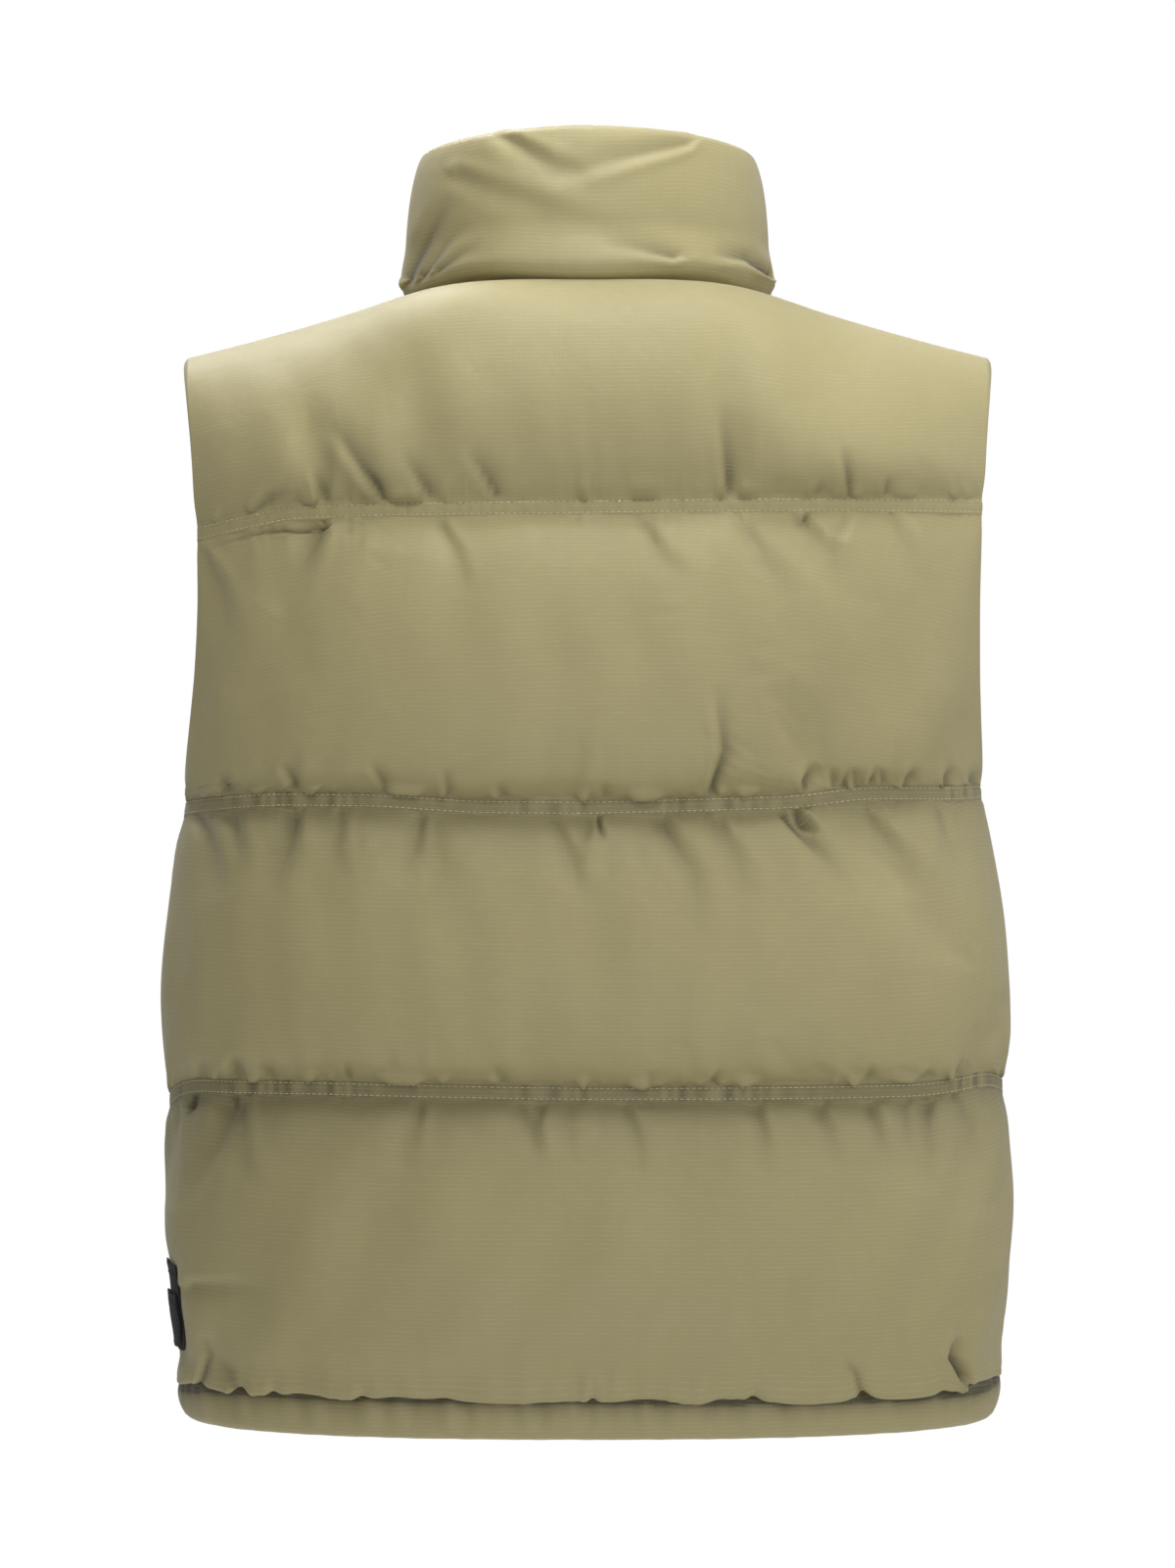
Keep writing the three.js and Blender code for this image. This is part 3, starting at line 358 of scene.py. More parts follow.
# baffle, seam it starts at, place across, lean by its end, width, reach, share of the crown
BACK_FOLDS = (
    (1, "low", 0.6, 0.09, 13, 60, 0.5), (1, "low", 0.36, 0.12, 14, 80, 0.25),
    (1, "low", -0.33, 0.02, 14, 100, 0.3), (2, "high", 0.6, 0.14, 18, 95, 0.5),
    (2, "high", -0.5, -0.1, 14, 55, 0.4), (2, "low", -0.49, 0.02, 13, 70, 0.55),
    (2, "low", -0.78, -0.08, 13, 50, 0.5), (2, "low", -0.9, -0.06, 12, 42, 0.45),
    (3, "high", -0.5, -0.16, 16, 90, 0.55), (3, "high", 0.32, -0.02, 14, 70, 0.35),
    (3, "low", 0.85, 0.0, 13, 50, 0.55), (3, "low", -0.76, -0.08, 14, 45, 0.55),
    (4, "high", 0.84, 0.14, 16, 105, 0.45), (4, "high", -0.7, -0.03, 14, 70, 0.4),
    (4, "low", -0.86, 0.03, 18, 60, 0.6),
)
FRONT_FOLDS = (
    (1, "low", 0.5, 0.1, 15, 95, 0.42), (2, "low", 0.3, 0.05, 14, 60, 0.42),
    (2, "high", 0.72, 0.1, 15, 70, 0.45), (3, "low", 0.6, -0.07, 14, 55, 0.45),
    (3, "high", 0.2, 0.05, 14, 55, 0.38),
    (4, "high", 0.66, 0.08, 16, 80, 0.42), (4, "low", 0.36, -0.05, 15, 50, 0.45),
)


def crown_profile(v):
    """Rise of a crown from a seam at 0 to a seam at 1: sin(pi v^skew)^fullness."""
    return np.maximum(np.sin(np.pi * np.clip(v, 0, 1) ** CROWN_SKEW), 0) ** CROWN_FULLNESS


def ease_from_edge(distance, reach):
    """Share of the crown beside an edge: it grows from a tenth towards one with the distance."""
    return SIDE_SHARE + (1 - SIDE_SHARE) * (1 - np.exp(-((np.maximum(distance, 0) / reach) ** 1.4)))


def left_by_folds(side, number, s, up, down, length):
    """Share of the crown that the folds leave: one minus a bell across each, fading along it. The
    right front mirrors the left."""
    mirrored = side < 0 and np.mean(s) < 0
    left = np.ones_like(s)
    for baffle, start, at, lean, width, reach, depth in BACK_FOLDS if side > 0 else FRONT_FOLDS:
        if baffle == number:
            along = np.clip((up if start == "low" else down) / reach, 0, 1)
            across = ((-s if mirrored else s) - at - lean * along) * length / width
            left *= 1 - depth * np.exp(-across**2) * (1 - along) ** 0.8
    return left


def seam_ease(distance, reach):
    """How far the cloth has left the flat seam: it sets off level, then rises within the reach."""
    return 1 - np.exp(-((np.maximum(distance, 0) / reach) ** 1.5))


def edge_ease(side, s, length):
    """Share of the crown left by the side seam, and by the zip on a front."""
    left = ease_from_edge((1 - np.abs(s)) * length, SIDE_EASE)
    return left if side > 0 else left * ease_from_edge(np.abs(s) * length, ZIP_EASE)


RISE = {"below": 7.0, "above": 5.0}  # reach of the level start below and above a strip


def baffle_grid(number, side, columns, rows):
    """Outer and inner points of one baffle. Rows are shares of its height, under 0 on the felled
    strip, where -1 is the strip's lower edge. Each outer point stands out from the base by the
    pressed cloth plus the crown."""
    s, share = np.meshgrid(columns, rows)
    low = seam_height(number - 1, side, s) + SEAM_GAP
    high = seam_height(number - 2, side, s)
    start = low + (0 if number == 4 else FELL)
    z = np.where(share < 0, start + share * (start - low + LAP), mix(start, high, np.maximum(share, 0)))
    point, out, length = body_point(side, s, z)
    folded = left_by_folds(side, number, s, z - start, high - z, length)
    crown = CROWN[side] * crown_profile(share) * edge_ease(side, s, length) * folded
    crown = crown * seam_ease(high - z, RISE["below"])
    if number < 4:
        crown = crown * seam_ease(z - start, RISE["above"])
    return point + out * (PRESSED + crown + strip_relief(share, s * length))[..., None], point, out


NEEDLES = (-0.85, -0.15)  # the two rows of stitches, as shares of the strip


def strip_relief(share, along):
    """Height of the felled strip's face: it stands proud by a folded cloth's thickness, sinks at the
    two rows of stitches, and ripples between them with the feed of the machine."""
    rows = bell(share - NEEDLES[0], 0.06) + bell(share - NEEDLES[1], 0.06)
    ripple = np.sin(along / 1.2 + 2.2 * np.sin(along / 9.0)) * bell(share + 0.5, 0.3)
    return (0.26 - 0.22 * rows + 0.24 * ripple) * (share < 0)


STRIP_ROWS = (-1, -0.92, -0.85, -0.7, -0.5, -0.3, -0.15)
CELL = {BACK: 4.3, FRONT: 4.6}  # spacing of the rows that are simulated


def crown_rows(height, cell):
    """Even shares of a baffle's height, pulled a little towards its seams."""
    even = np.linspace(0, 1, int(round(height / cell)) + 1)
    return mix(even, 0.5 - 0.5 * np.cos(np.pi * even), 0.6)


print("baffles", [round(a - b) for a, b in zip(SEAM_LEVELS, SEAM_LEVELS[1:])], "mm high")

# %% [markdown]
# The yoke's wall is thickened along a direction that turns smoothly: out from the chest at its
# foot, along the surface's own normal higher up, up at the shoulder's ridge, and to the collar's
# lean beside the neck seam.

# %% Yoke and collar grids
STRIP_MOST = 0.05  # the most that the felled strip takes of the yoke's curve
COLLAR = {"back_top": 73, "arch": 6, "front_top": 52, "edge": 4, "crown": 11.5, "inner": 3,
          "pull_in": 11, "zip_ease": 14, "gap": 0.4}


def yoke_grid(side, columns, rows):
    """Outer and inner points of the yoke, rows as shares of each column's curve."""
    s, share = np.meshgrid(columns, rows)
    top = yoke_top(side, np.asarray(columns, float))[None]
    risen = np.maximum(share, 0)
    foot, foot_out, length = body_point(side, s, seam_height(0, side, s))
    step = 0.01
    speed = np.linalg.norm(yoke_point(side, s, step + 0 * s) - foot, axis=-1) / step
    strip = np.minimum(FELL / speed, STRIP_MOST)
    v = np.where(share < 0, strip + share * (strip + LAP / speed),
                 mix(strip, 1, risen) - (1 - top) * risen**3)
    up = yoke_point(side, s, np.minimum(1, v + step)) - yoke_point(side, s, np.maximum(0, v - step))
    low_s, high_s = min(columns), max(columns)
    across = (yoke_point(side, np.minimum(high_s, s + step), v)
              - yoke_point(side, np.maximum(low_s, s - step), v))
    point = yoke_point(side, s, v)
    normal = unit(np.cross(across, up))
    facing = np.sum(normal * foot_out, axis=-1) + normal[..., 2] * v
    normal = normal * np.where(facing < 0, -1, 1)[..., None]
    plan_x, plan_y = neck_plan(point)
    from_neck = np.maximum(0, (np.hypot(plan_x, plan_y) - 1) * NECK["half_width"])
    on_ridge = np.stack([np.sign(s) * 0.3, 0 * s, 0 * s + 0.95], axis=-1)
    out = mix(foot_out, normal, smooth(v / 0.25)[..., None])
    out = mix(out, on_ridge, smooth((v - 0.75) / 0.25)[..., None])
    near = bell(from_neck, YOKE_CROWN["neck_turn"])[..., None]
    out = unit(mix(out, neck_out(np.degrees(np.arctan2(plan_x, plan_y))), near))
    rise = np.sin(np.pi / 2 * np.minimum(1, v / YOKE_CROWN["full"])) ** CROWN_FULLNESS
    fade = np.clip((v - YOKE_CROWN["fades"]) / (1 - YOKE_CROWN["fades"]), 0, 1)
    to_ridge = (1 - fade) ** 0.75
    to_neck = grown(from_neck, YOKE_CROWN["neck_ease"])
    reach = np.linalg.norm(foot - yoke_point(side, s, np.ones_like(s)), axis=-1)
    folded = left_by_folds(side, 1, s, v * reach, (1 - v) * reach, length)
    edge = mix(PRESSED, SHOULDER["thickness"], smooth(v) * smooth(from_neck / 30))
    crown = CROWN[side] * rise * to_ridge * to_neck * edge_ease(side, s, length) * folded
    crown = crown * seam_ease((v - strip) * reach, RISE["above"])
    thick = np.where(share <= 0, PRESSED + strip_relief(share, s * length), edge + crown)
    point = point + np.stack([0 * s, 0 * s, SEAM_GAP * (1 - np.maximum(share, 0))], axis=-1)
    return point + out * thick[..., None], point, out


def yoke_columns(side):
    """Shares across the yoke: a little closer together by the neck seam's corner, then even."""
    t = np.linspace(0 if side > 0 else ZIP_SHARE, 1, 36 if side > 0 else 33)
    neck = CORNER * mix(t, np.sin(np.pi / 2 * t), 0.55)
    shoulder = np.linspace(CORNER, 1, 36)[1:]
    half = np.concatenate([neck, shoulder])
    return np.concatenate([-half[:0:-1], half]) if side > 0 else half


def collar_base(around, v):
    """The collar's middle surface by share round from the centre back and share of its height."""
    pull = COLLAR["pull_in"] * smooth(v / 0.4)
    width, depth = NECK["half_width"] - pull, NECK["half_depth"] - pull
    last = 180 - np.degrees(np.arcsin(ZIP_HALF / width))
    share = np.abs(around)
    angle = np.sign(around) * np.where(share <= 0.5, 180 * share, mix(90, last, 2 * share - 1))
    t = np.radians(angle)
    top = mix(COLLAR["back_top"] + COLLAR["arch"] * np.maximum(np.cos(t), 0) ** 2, COLLAR["front_top"],
              smooth((np.abs(angle) - 90) / 90))
    z = mix(neck_height(angle) + COLLAR["gap"], top, v)
    return np.stack([width * np.sin(t), NECK["centre"] + depth * np.cos(t), z], axis=-1), angle


def collar_grid(columns, rows):
    """Outer and inner points of the collar: its middle surface, moved out by the outer crown and in
    by the inner one."""
    around, v = np.meshgrid(columns, rows)
    base, angle = collar_base(around, v)
    t = np.radians(angle)
    level = np.stack([np.sin(t), np.cos(t), 0 * t], axis=-1)
    out = unit(mix(neck_out(angle), level, smooth(v / 0.2)[..., None]))
    zip_angle = math.degrees(math.asin(ZIP_HALF / NECK["half_width"]))
    to_zip = np.radians(180 - zip_angle - np.abs(angle)) * NECK["half_width"]
    rise = crown_profile(v) * ease_from_edge(to_zip, COLLAR["zip_ease"])
    rise = rise * (1 - 0.26 * bell(v, 0.24) * np.sin(t) ** 2)
    outer = base + out * (COLLAR["edge"] + COLLAR["crown"] * rise)[..., None]
    return outer, base - out * (COLLAR["inner"] * rise)[..., None], out


print("yoke columns", len(yoke_columns(BACK)), "and", len(yoke_columns(FRONT)))

# %% [markdown]
# ## Cloth simulation
# The outer face of each padded piece is puffed up as real padding does it. The cloth is cut a little
# larger than the space between its seams, so its resting shape is the first shape enlarged round
# the body and a little upwards. Its edges and the felled strips are pinned, air pressure
# pushes it out, and the extra length gathers into puckers beside the seams. All pieces settle
# together in 20 frames, and no Cloth modifier stays: only the settled points are kept.

# %% Puff up the grids
FRAMES = 20
MOST_MOVE = 13.0
WADDED = {"mass": 0.25, "tension_stiffness": 15, "compression_stiffness": 10, "shear_stiffness": 4,
          "bending_stiffness": 0.12, "air_damping": 3, "use_pressure": True, "uniform_pressure_force": 4.0}
# how much larger the cloth is cut round the body, and up
LARGER = {"yoke": (1.015, 1.0), "baffle": (1.05, 1.004), "collar": (1.015, 1.0)}


def kind_of(name):
    """The kind of a padded piece by its name: yoke, baffle or collar."""
    return next(kind for kind in LARGER if kind in name)


SEED = 11
random = np.random.default_rng(SEED)
settling = []


def cloth_plan(outer):
    """Flat pattern of a grid in mm: length along each row from its middle, and up each column."""
    along = arc_length(outer, 1)
    middle = along[:, along.shape[1] // 2][:, None]
    return along - middle, arc_length(outer, 0)


PLEATS = (17.0, 26.0, 41.0, 63.0)


def gathers(u, v, height, strength):
    """Small uneven pleats that start at both seams: sums of waves along the seam whose phase
    drifts, fading over 25 to 45 mm."""
    total = np.zeros_like(u)
    for from_seam in (v, np.maximum(height - v, 0)):
        for length in PLEATS:
            phase, drift, lean = (random.uniform(*span) for span in ((0, 6.28), (70, 160), (-0.4, 0.4)))
            sway = 1.6 * np.sin(u / drift * 6.28 + phase)
            wave = np.sin(2 * np.pi * (u + lean * from_seam) / length + sway + phase)
            patch = 0.5 + 0.5 * np.sin(u / (drift * 1.7) * 6.28 + 2 * phase)
            total += wave * patch * np.exp(-from_seam / (12 + length * 0.6)) * grown(from_seam, 6)
    return total * strength


def grid_quads(rows, columns, start=0):
    """Quads between neighbouring points of a grid that is stored row by row."""
    i = np.arange(rows * columns).reshape(rows, columns) + start
    return np.stack([i[:-1, :-1], i[:-1, 1:], i[1:, 1:], i[1:, :-1]], axis=-1).reshape(-1, 4)


def grid_normals(points, out):
    """Normals of a grid from the cross product of its two directions, turned to the side of out."""
    normal = unit(np.cross(np.gradient(points, axis=1), np.gradient(points, axis=0)))
    return normal * np.where(np.sum(normal * out, axis=-1, keepdims=True) < 0, -1, 1)


def start_cloth(name, grid, pinned, out):
    """Adds a cloth object for a grid, pinned where asked, whose rest shape is the larger cut."""
    rows, columns = grid.shape[:2]
    quads = grid_quads(rows, columns)
    r, c = rows // 2, columns // 2
    facing = np.cross(grid[r, c + 1] - grid[r, c], grid[r + 1, c] - grid[r, c])
    if np.dot(facing, out[r, c]) < 0:
        quads = quads[:, ::-1]
    mesh = bpy.data.meshes.new(name)
    mesh.from_pydata(grid.reshape(-1, 3) * MM, [], quads.tolist())
    cloth = bpy.data.objects.new(name, mesh)
    scene.collection.objects.link(cloth)
    cloth.shape_key_add(name="worn")
    cut = cloth.shape_key_add(name="cut")
    along, up = LARGER[kind_of(name)]
    cut.data.foreach_set("co", (grid * np.array([along, along, up]) * MM).ravel())
    held = cloth.vertex_groups.new(name="seams")
    held.add(np.flatnonzero(pinned.ravel()).tolist(), 1.0, "REPLACE")
    modifier = cloth.modifiers.new("puff", "CLOTH")
    settings = modifier.settings
    settings.quality = 5
    settings.vertex_group_mass = "seams"
    settings.rest_shape_key = cut
    for setting, value in WADDED.items():
        setattr(settings, setting, value)
    settings.effector_weights.gravity = 0
    modifier.collision_settings.use_collision = False
    modifier.collision_settings.use_self_collision = False
    modifier.point_cache.frame_start = 1
    modifier.point_cache.frame_end = FRAMES
    settling.append((name, cloth, grid))


def settle_all():
    """Steps the frames once for all cloths, reads their points, caps how far they moved, and
    removes the cloth objects."""
    for number in range(1, FRAMES + 1):
        scene.frame_set(number)
    graph = bpy.context.evaluated_depsgraph_get()
    settled = {}
    for name, cloth, grid in settling:
        moved = cloth.evaluated_get(graph).data
        points = np.empty(len(moved.vertices) * 3)
        moved.vertices.foreach_get("co", points)
        shift = points.reshape(grid.shape) / MM - grid
        size = np.linalg.norm(shift, axis=-1, keepdims=True)
        shift = shift * np.minimum(1, MOST_MOVE / np.maximum(size, 1e-6))
        settled[name] = grid + shift
        print(f"{name} moved {size.max():.1f} mm at most, {size.mean():.1f} on average")
    for _, cloth, _ in settling:
        mesh = cloth.data
        bpy.data.objects.remove(cloth)
        bpy.data.meshes.remove(mesh)
    settling.clear()
    scene.frame_set(1)
    return settled


# %% The grids of all padded pieces
def even_columns(side, label, counts):
    """Even shares across a panel. The right front's are the left one's, mirrored."""
    return on_panel(label, np.linspace(-1 if side > 0 else ZIP_SHARE, 1, counts[side]))


def on_panel(label, columns):
    """A panel's columns, turned round on the right front."""
    return -columns[::-1] if label == "front_right" else columns


COLUMNS = {BACK: 119, FRONT: 67}
YOKE_ROWS = {BACK: 48, FRONT: 46}
STRENGTH = {"yoke": 0.5, "baffle": 0.7, "collar": 0.25}  # of the first pleats, in mm
pieces = {}


def plan_piece(name, grids, strip_rows):
    """Keeps a piece's grids, adds its first pleats, and starts its cloth."""
    outer, inner, out = grids
    rows, columns = outer.shape[:2]
    pinned = np.zeros((rows, columns), bool)
    pinned[:strip_rows + 1] = True
    pinned[-1] = True
    pinned[:, [0, -1]] = True
    u, v = cloth_plan(outer)
    above = np.maximum(v - v[strip_rows], 0)
    ease = grown(np.minimum(u - u[:, :1], u[:, -1:] - u), 12) * np.where(pinned, 0, 1)
    pleats = gathers(u, above, above[-1], STRENGTH[kind_of(name)]) * ease
    first = outer + out * pleats[..., None]
    pieces[name] = {"outer": first, "inner": inner, "out": out, "plan": np.stack([u, v], axis=-1),
                    "strip": strip_rows}
    start_cloth(name, first, pinned, out)


for side, label in PANELS:
    columns = even_columns(side, label, COLUMNS)
    for number in (2, 3, 4):
        strip = STRIP_ROWS if number < 4 else ()
        height = SEAM_LEVELS[number - 2] - SEAM_LEVELS[number - 1] + CROWN[BACK]
        rows = np.concatenate([strip, crown_rows(height, CELL[side])])
        plan_piece(f"{label}_baffle_{number}", baffle_grid(number, side, columns, rows), len(strip))
    rows = np.sin(np.pi / 2 * np.linspace(0, 1, YOKE_ROWS[side])) ** 1.12
    rows = np.concatenate([STRIP_ROWS, rows])
    plan_piece(f"{label}_yoke", yoke_grid(side, on_panel(label, yoke_columns(side)), rows), len(STRIP_ROWS))
plan_piece("collar", collar_grid(np.linspace(-1, 1, 167), crown_rows(96, CELL[BACK])), 0)
print(len(pieces), "padded pieces,", sum(p["outer"].size // 3 for p in pieces.values()), "points")

# %% Settle them together
for name, points in settle_all().items():
    pieces[name]["outer"] = points

# %% [markdown]
# ## Cloth finishes
# The shell is a light ripstop nylon: a plain weave with a slightly thicker thread every few
# millimetres, which shows as faint lines along the cloth. Its colour drifts a little over the
# garment. The pattern follows each piece's own UV map, which is in metres along and up the
# cloth, so that the lines bend with the padding. Effects that several materials use are groups.

# %% Shader groups
def new_group(name, inputs, outputs):
    """An empty shader group: an input is a vector, or a float where it has a value, and every
    output is a float."""
    tree = bpy.data.node_groups.new(name, "ShaderNodeTree")
    for label, value in inputs.items():
        kind = "NodeSocketVector" if value is None else "NodeSocketFloat"
        socket = tree.interface.new_socket(label, in_out="INPUT", socket_type=kind)
        if value is not None:
            socket.default_value = value
    for label in outputs:
        tree.interface.new_socket(label, in_out="OUTPUT", socket_type="NodeSocketFloat")
    return tree, tree.nodes.new("NodeGroupInput").outputs, tree.nodes.new("NodeGroupOutput").inputs


def feed(tree, value, socket):
    """Links a socket to another one, or sets a number or a colour on it."""
    if isinstance(value, bpy.types.NodeSocket):
        tree.links.new(value, socket)
    else:
        socket.default_value = value


def math_node(tree, operation, first, second=0.0, clamp=False):
    """A math node whose inputs are sockets or numbers; it gives its output socket."""
    node = tree.nodes.new("ShaderNodeMath")
    node.operation = operation
    node.use_clamp = clamp
    feed(tree, first, node.inputs[0])
    feed(tree, second, node.inputs[1])
    return node.outputs[0]


def times(tree, first, second, clamp=False):
    """The product of two sockets or numbers."""
    return math_node(tree, "MULTIPLY", first, second, clamp)


def plus(tree, first, second):
    """The sum of two sockets or numbers."""
    return math_node(tree, "ADD", first, second)


def minus(tree, first, second):
    """The first less the second."""
    return math_node(tree, "SUBTRACT", first, second)


def noise(tree, vector, scale, detail=3.0, roughness=0.55, distortion=0.0):
    """A noise texture on a vector at a scale; it gives the factor's socket."""
    node = tree.nodes.new("ShaderNodeTexNoise")
    for label, value in (("Detail", detail), ("Roughness", roughness), ("Distortion", distortion),
                         ("Vector", vector), ("Scale", scale)):
        feed(tree, value, node.inputs[label])
    return node.outputs["Fac"]


def thread_lines(tree, coordinate, pitch, width):
    """Thin lines across a coordinate: how near it is to the next multiple of the pitch."""
    share = math_node(tree, "FRACT", math_node(tree, "DIVIDE", coordinate, pitch))
    near = math_node(tree, "ABSOLUTE", minus(tree, share, 0.5))
    return math_node(tree, "DIVIDE", minus(tree, near, minus(tree, 0.5, width)), width, clamp=True)


def ripstop_group():
    """Lines of thicker thread both ways, the fainter upright, and the fine weave between them."""
    tree, into, out = new_group("ripstop", {"Cloth": None, "Pitch": 0.0024, "Width": 0.14},
                                ("Lines", "Weave"))
    apart = tree.nodes.new("ShaderNodeSeparateXYZ")
    tree.links.new(into["Cloth"], apart.inputs[0])
    level, upright = (thread_lines(tree, apart.outputs[axis], into["Pitch"], into["Width"]) for axis in "YX")
    strength = times(tree, minus(tree, noise(tree, into["Cloth"], 140.0), 0.3), 3.0, clamp=True)
    both = plus(tree, level, times(tree, upright, 0.2))
    tree.links.new(times(tree, both, strength, clamp=True), out["Lines"])
    tree.links.new(noise(tree, into["Cloth"], 1400.0, 2.0), out["Weave"])
    return tree


def drift_group():
    """Slow change of shade over the garment, and finer flecks, both from 0 to 1."""
    tree, into, out = new_group("shade_drift", {"Place": None, "Broad": 5.0, "Fine": 90.0}, ("Broad", "Fine"))
    tree.links.new(noise(tree, into["Place"], into["Broad"]), out["Broad"])
    tree.links.new(noise(tree, into["Place"], into["Fine"], 4.0, 0.6), out["Fine"])
    return tree


RIPSTOP = ripstop_group()
DRIFT = drift_group()


def new_material(name, roughness, sheen=0.0, metallic=0.0):
    """A material with a Principled shader whose constant values sit on its own sockets."""
    material = bpy.data.materials.new(name)
    material.use_nodes = True
    shader = material.node_tree.nodes["Principled BSDF"].inputs
    for label, value in (("Roughness", roughness), ("Metallic", metallic), ("Sheen Weight", sheen),
                         ("Sheen Roughness", 0.5)):
        shader[label].default_value = value
    return material, material.node_tree, shader


def place_group(tree, group, **values):
    """Puts a shader group in a material with its own values."""
    node = tree.nodes.new("ShaderNodeGroup")
    node.node_tree = group
    for label, value in values.items():
        feed(tree, value, node.inputs[label])
    return node.outputs


def mix_colours(tree, share, first, second):
    """A colour mix node; the share and each colour are a socket or a value."""
    node = tree.nodes.new("ShaderNodeMix")
    node.data_type = "RGBA"
    for place, value in ((0, share), (6, first), (7, second)):
        feed(tree, value, node.inputs[place])
    return node.outputs[2]


def add_bump(tree, shader, height, distance, strength=1.0):
    """A Bump node on a height socket, linked to the shader's normal."""
    node = tree.nodes.new("ShaderNodeBump")
    node.inputs["Distance"].default_value = distance
    node.inputs["Strength"].default_value = strength
    tree.links.new(height, node.inputs["Height"])
    tree.links.new(node.outputs["Normal"], shader["Normal"])


def cloth_uv(tree):
    """The piece's own UV map, in metres along and up the cloth."""
    node = tree.nodes.new("ShaderNodeUVMap")
    node.uv_map = "cloth"
    return node.outputs["UV"]


def object_place(tree):
    """Object coordinates, which are the garment's own because every piece sits at the origin."""
    return tree.nodes.new("ShaderNodeTexCoord").outputs["Object"]


def linear(hex_colour):
    """A screen colour as linear light: ((c + 0.055) / 1.055) ^ 2.4 above the toe."""
    parts = [int(hex_colour[k:k + 2], 16) / 255 for k in (1, 3, 5)]
    return (*(p / 12.92 if p <= 0.04045 else ((p + 0.055) / 1.055) ** 2.4 for p in parts), 1)


# %% The shell's ripstop
PAINTED_SHADE_SHARE = 0.92  # how far the fullest painted shade takes on the painted shade colour


def shell_material(name, dark, light, thread, painted_shade_colour):
    """Two shades of the cloth mixed by the drift, darker where shade of the creases and seams is painted,
    point by point, and lighter on the thick threads."""
    material, tree, shader = new_material(name, 0.5, sheen=0.12)
    place = object_place(tree)
    drift = place_group(tree, DRIFT, Place=place)
    ripstop = place_group(tree, RIPSTOP, Cloth=cloth_uv(tree))
    painted_shade = tree.nodes.new("ShaderNodeAttribute")
    painted_shade.attribute_name = "painted_shade"
    base = linear(dark)
    for share, shade in ((drift["Broad"], light), (times(tree, ripstop["Weave"], 0.10), dark),
                         (times(tree, painted_shade.outputs["Fac"], PAINTED_SHADE_SHARE), painted_shade_colour),
                         (times(tree, ripstop["Lines"], 0.25), thread)):
        base = mix_colours(tree, share, base, linear(shade))
    tree.links.new(base, shader["Base Color"])
    tree.links.new(plus(tree, times(tree, drift["Fine"], 0.14), 0.52), shader["Roughness"])
    height = plus(tree, noise(tree, place, 38.0, 3.0, 0.5, 0.8), times(tree, ripstop["Lines"], 0.10))
    add_bump(tree, shader, plus(tree, height, times(tree, ripstop["Weave"], 0.05)), 0.0006, 0.6)
    return material


def plain_material(name, dark, light, roughness, bump, scale, metallic=0.0, sheen=0.0):
    """A finish with flecks of two shades and a fine relief, such as thread, tape or metal."""
    material, tree, shader = new_material(name, roughness, sheen, metallic)
    drift = place_group(tree, DRIFT, Place=object_place(tree), Broad=scale / 12, Fine=scale)
    tree.links.new(mix_colours(tree, drift["Fine"], linear(dark), linear(light)), shader["Base Color"])
    tree.links.new(plus(tree, times(tree, drift["Broad"], 0.2), roughness - 0.1), shader["Roughness"])
    add_bump(tree, shader, drift["Fine"], bump)
    return material


# the last colour is the painted shade of creases and seams
SHELL = shell_material("ripstop_shell", "#9a9065", "#a89e71", "#c8c096", "#4d4830")
THREAD = plain_material("thread", "#b5ae88", "#d2cba6", 0.6, 0.00008, 1500.0)
TAPE = plain_material("zip_tape", "#716b4d", "#878163", 0.85, 0.0002, 1200.0)
TEETH = plain_material("moulded_teeth", "#5f5b40", "#716d50", 0.42, 0.00003, 400.0)
METAL = plain_material("gunmetal", "#3c3b37", "#56544d", 0.38, 0.00003, 300.0, metallic=0.85)
BLACK = plain_material("black_felt", "#060607", "#17181b", 0.9, 0.0004, 900.0, sheen=0.04)
BLACK_THREAD = plain_material("black_thread", "#101113", "#26282c", 0.7, 0.00008, 1500.0)
print(len(bpy.data.materials), "materials")

# %% [markdown]
# ## From grids to closed pieces
# A settled grid is made twice as fine with the four-point rule, then creases that the simulation
# can't know are pressed in. A padded piece is closed by an inner face and a rounded
# rim, so that it is one solid tube of cloth.

# %% Finer grids and closed walls
def finer(grid, axes=(0, 1)):
    """Twice as many steps along the axes: a point halfway is (9(b + c) - a - d) / 16 of its
    neighbours."""
    for axis in axes:
        rows = np.moveaxis(grid, axis, 0)
        ends = np.concatenate([2 * rows[:1] - rows[1:2], rows, 2 * rows[-1:] - rows[-2:-1]])
        halfway = (9 * (ends[1:-2] + ends[2:-1]) - ends[:-3] - ends[3:]) / 16
        both = np.empty((2 * len(rows) - 1, *rows.shape[1:]))
        both[::2], both[1::2] = rows, halfway
        grid = np.moveaxis(both, 0, axis)
    return grid


def signed_volume(points, quads):
    """Volume inside a closed mesh, negative if its faces point inwards: the sum of the quads'
    tetrahedra from the origin."""
    a, b, c, d = (points[quads[:, k]] for k in range(4))
    return (np.sum(a * np.cross(b, c)) + np.sum(a * np.cross(c, d))) / 6


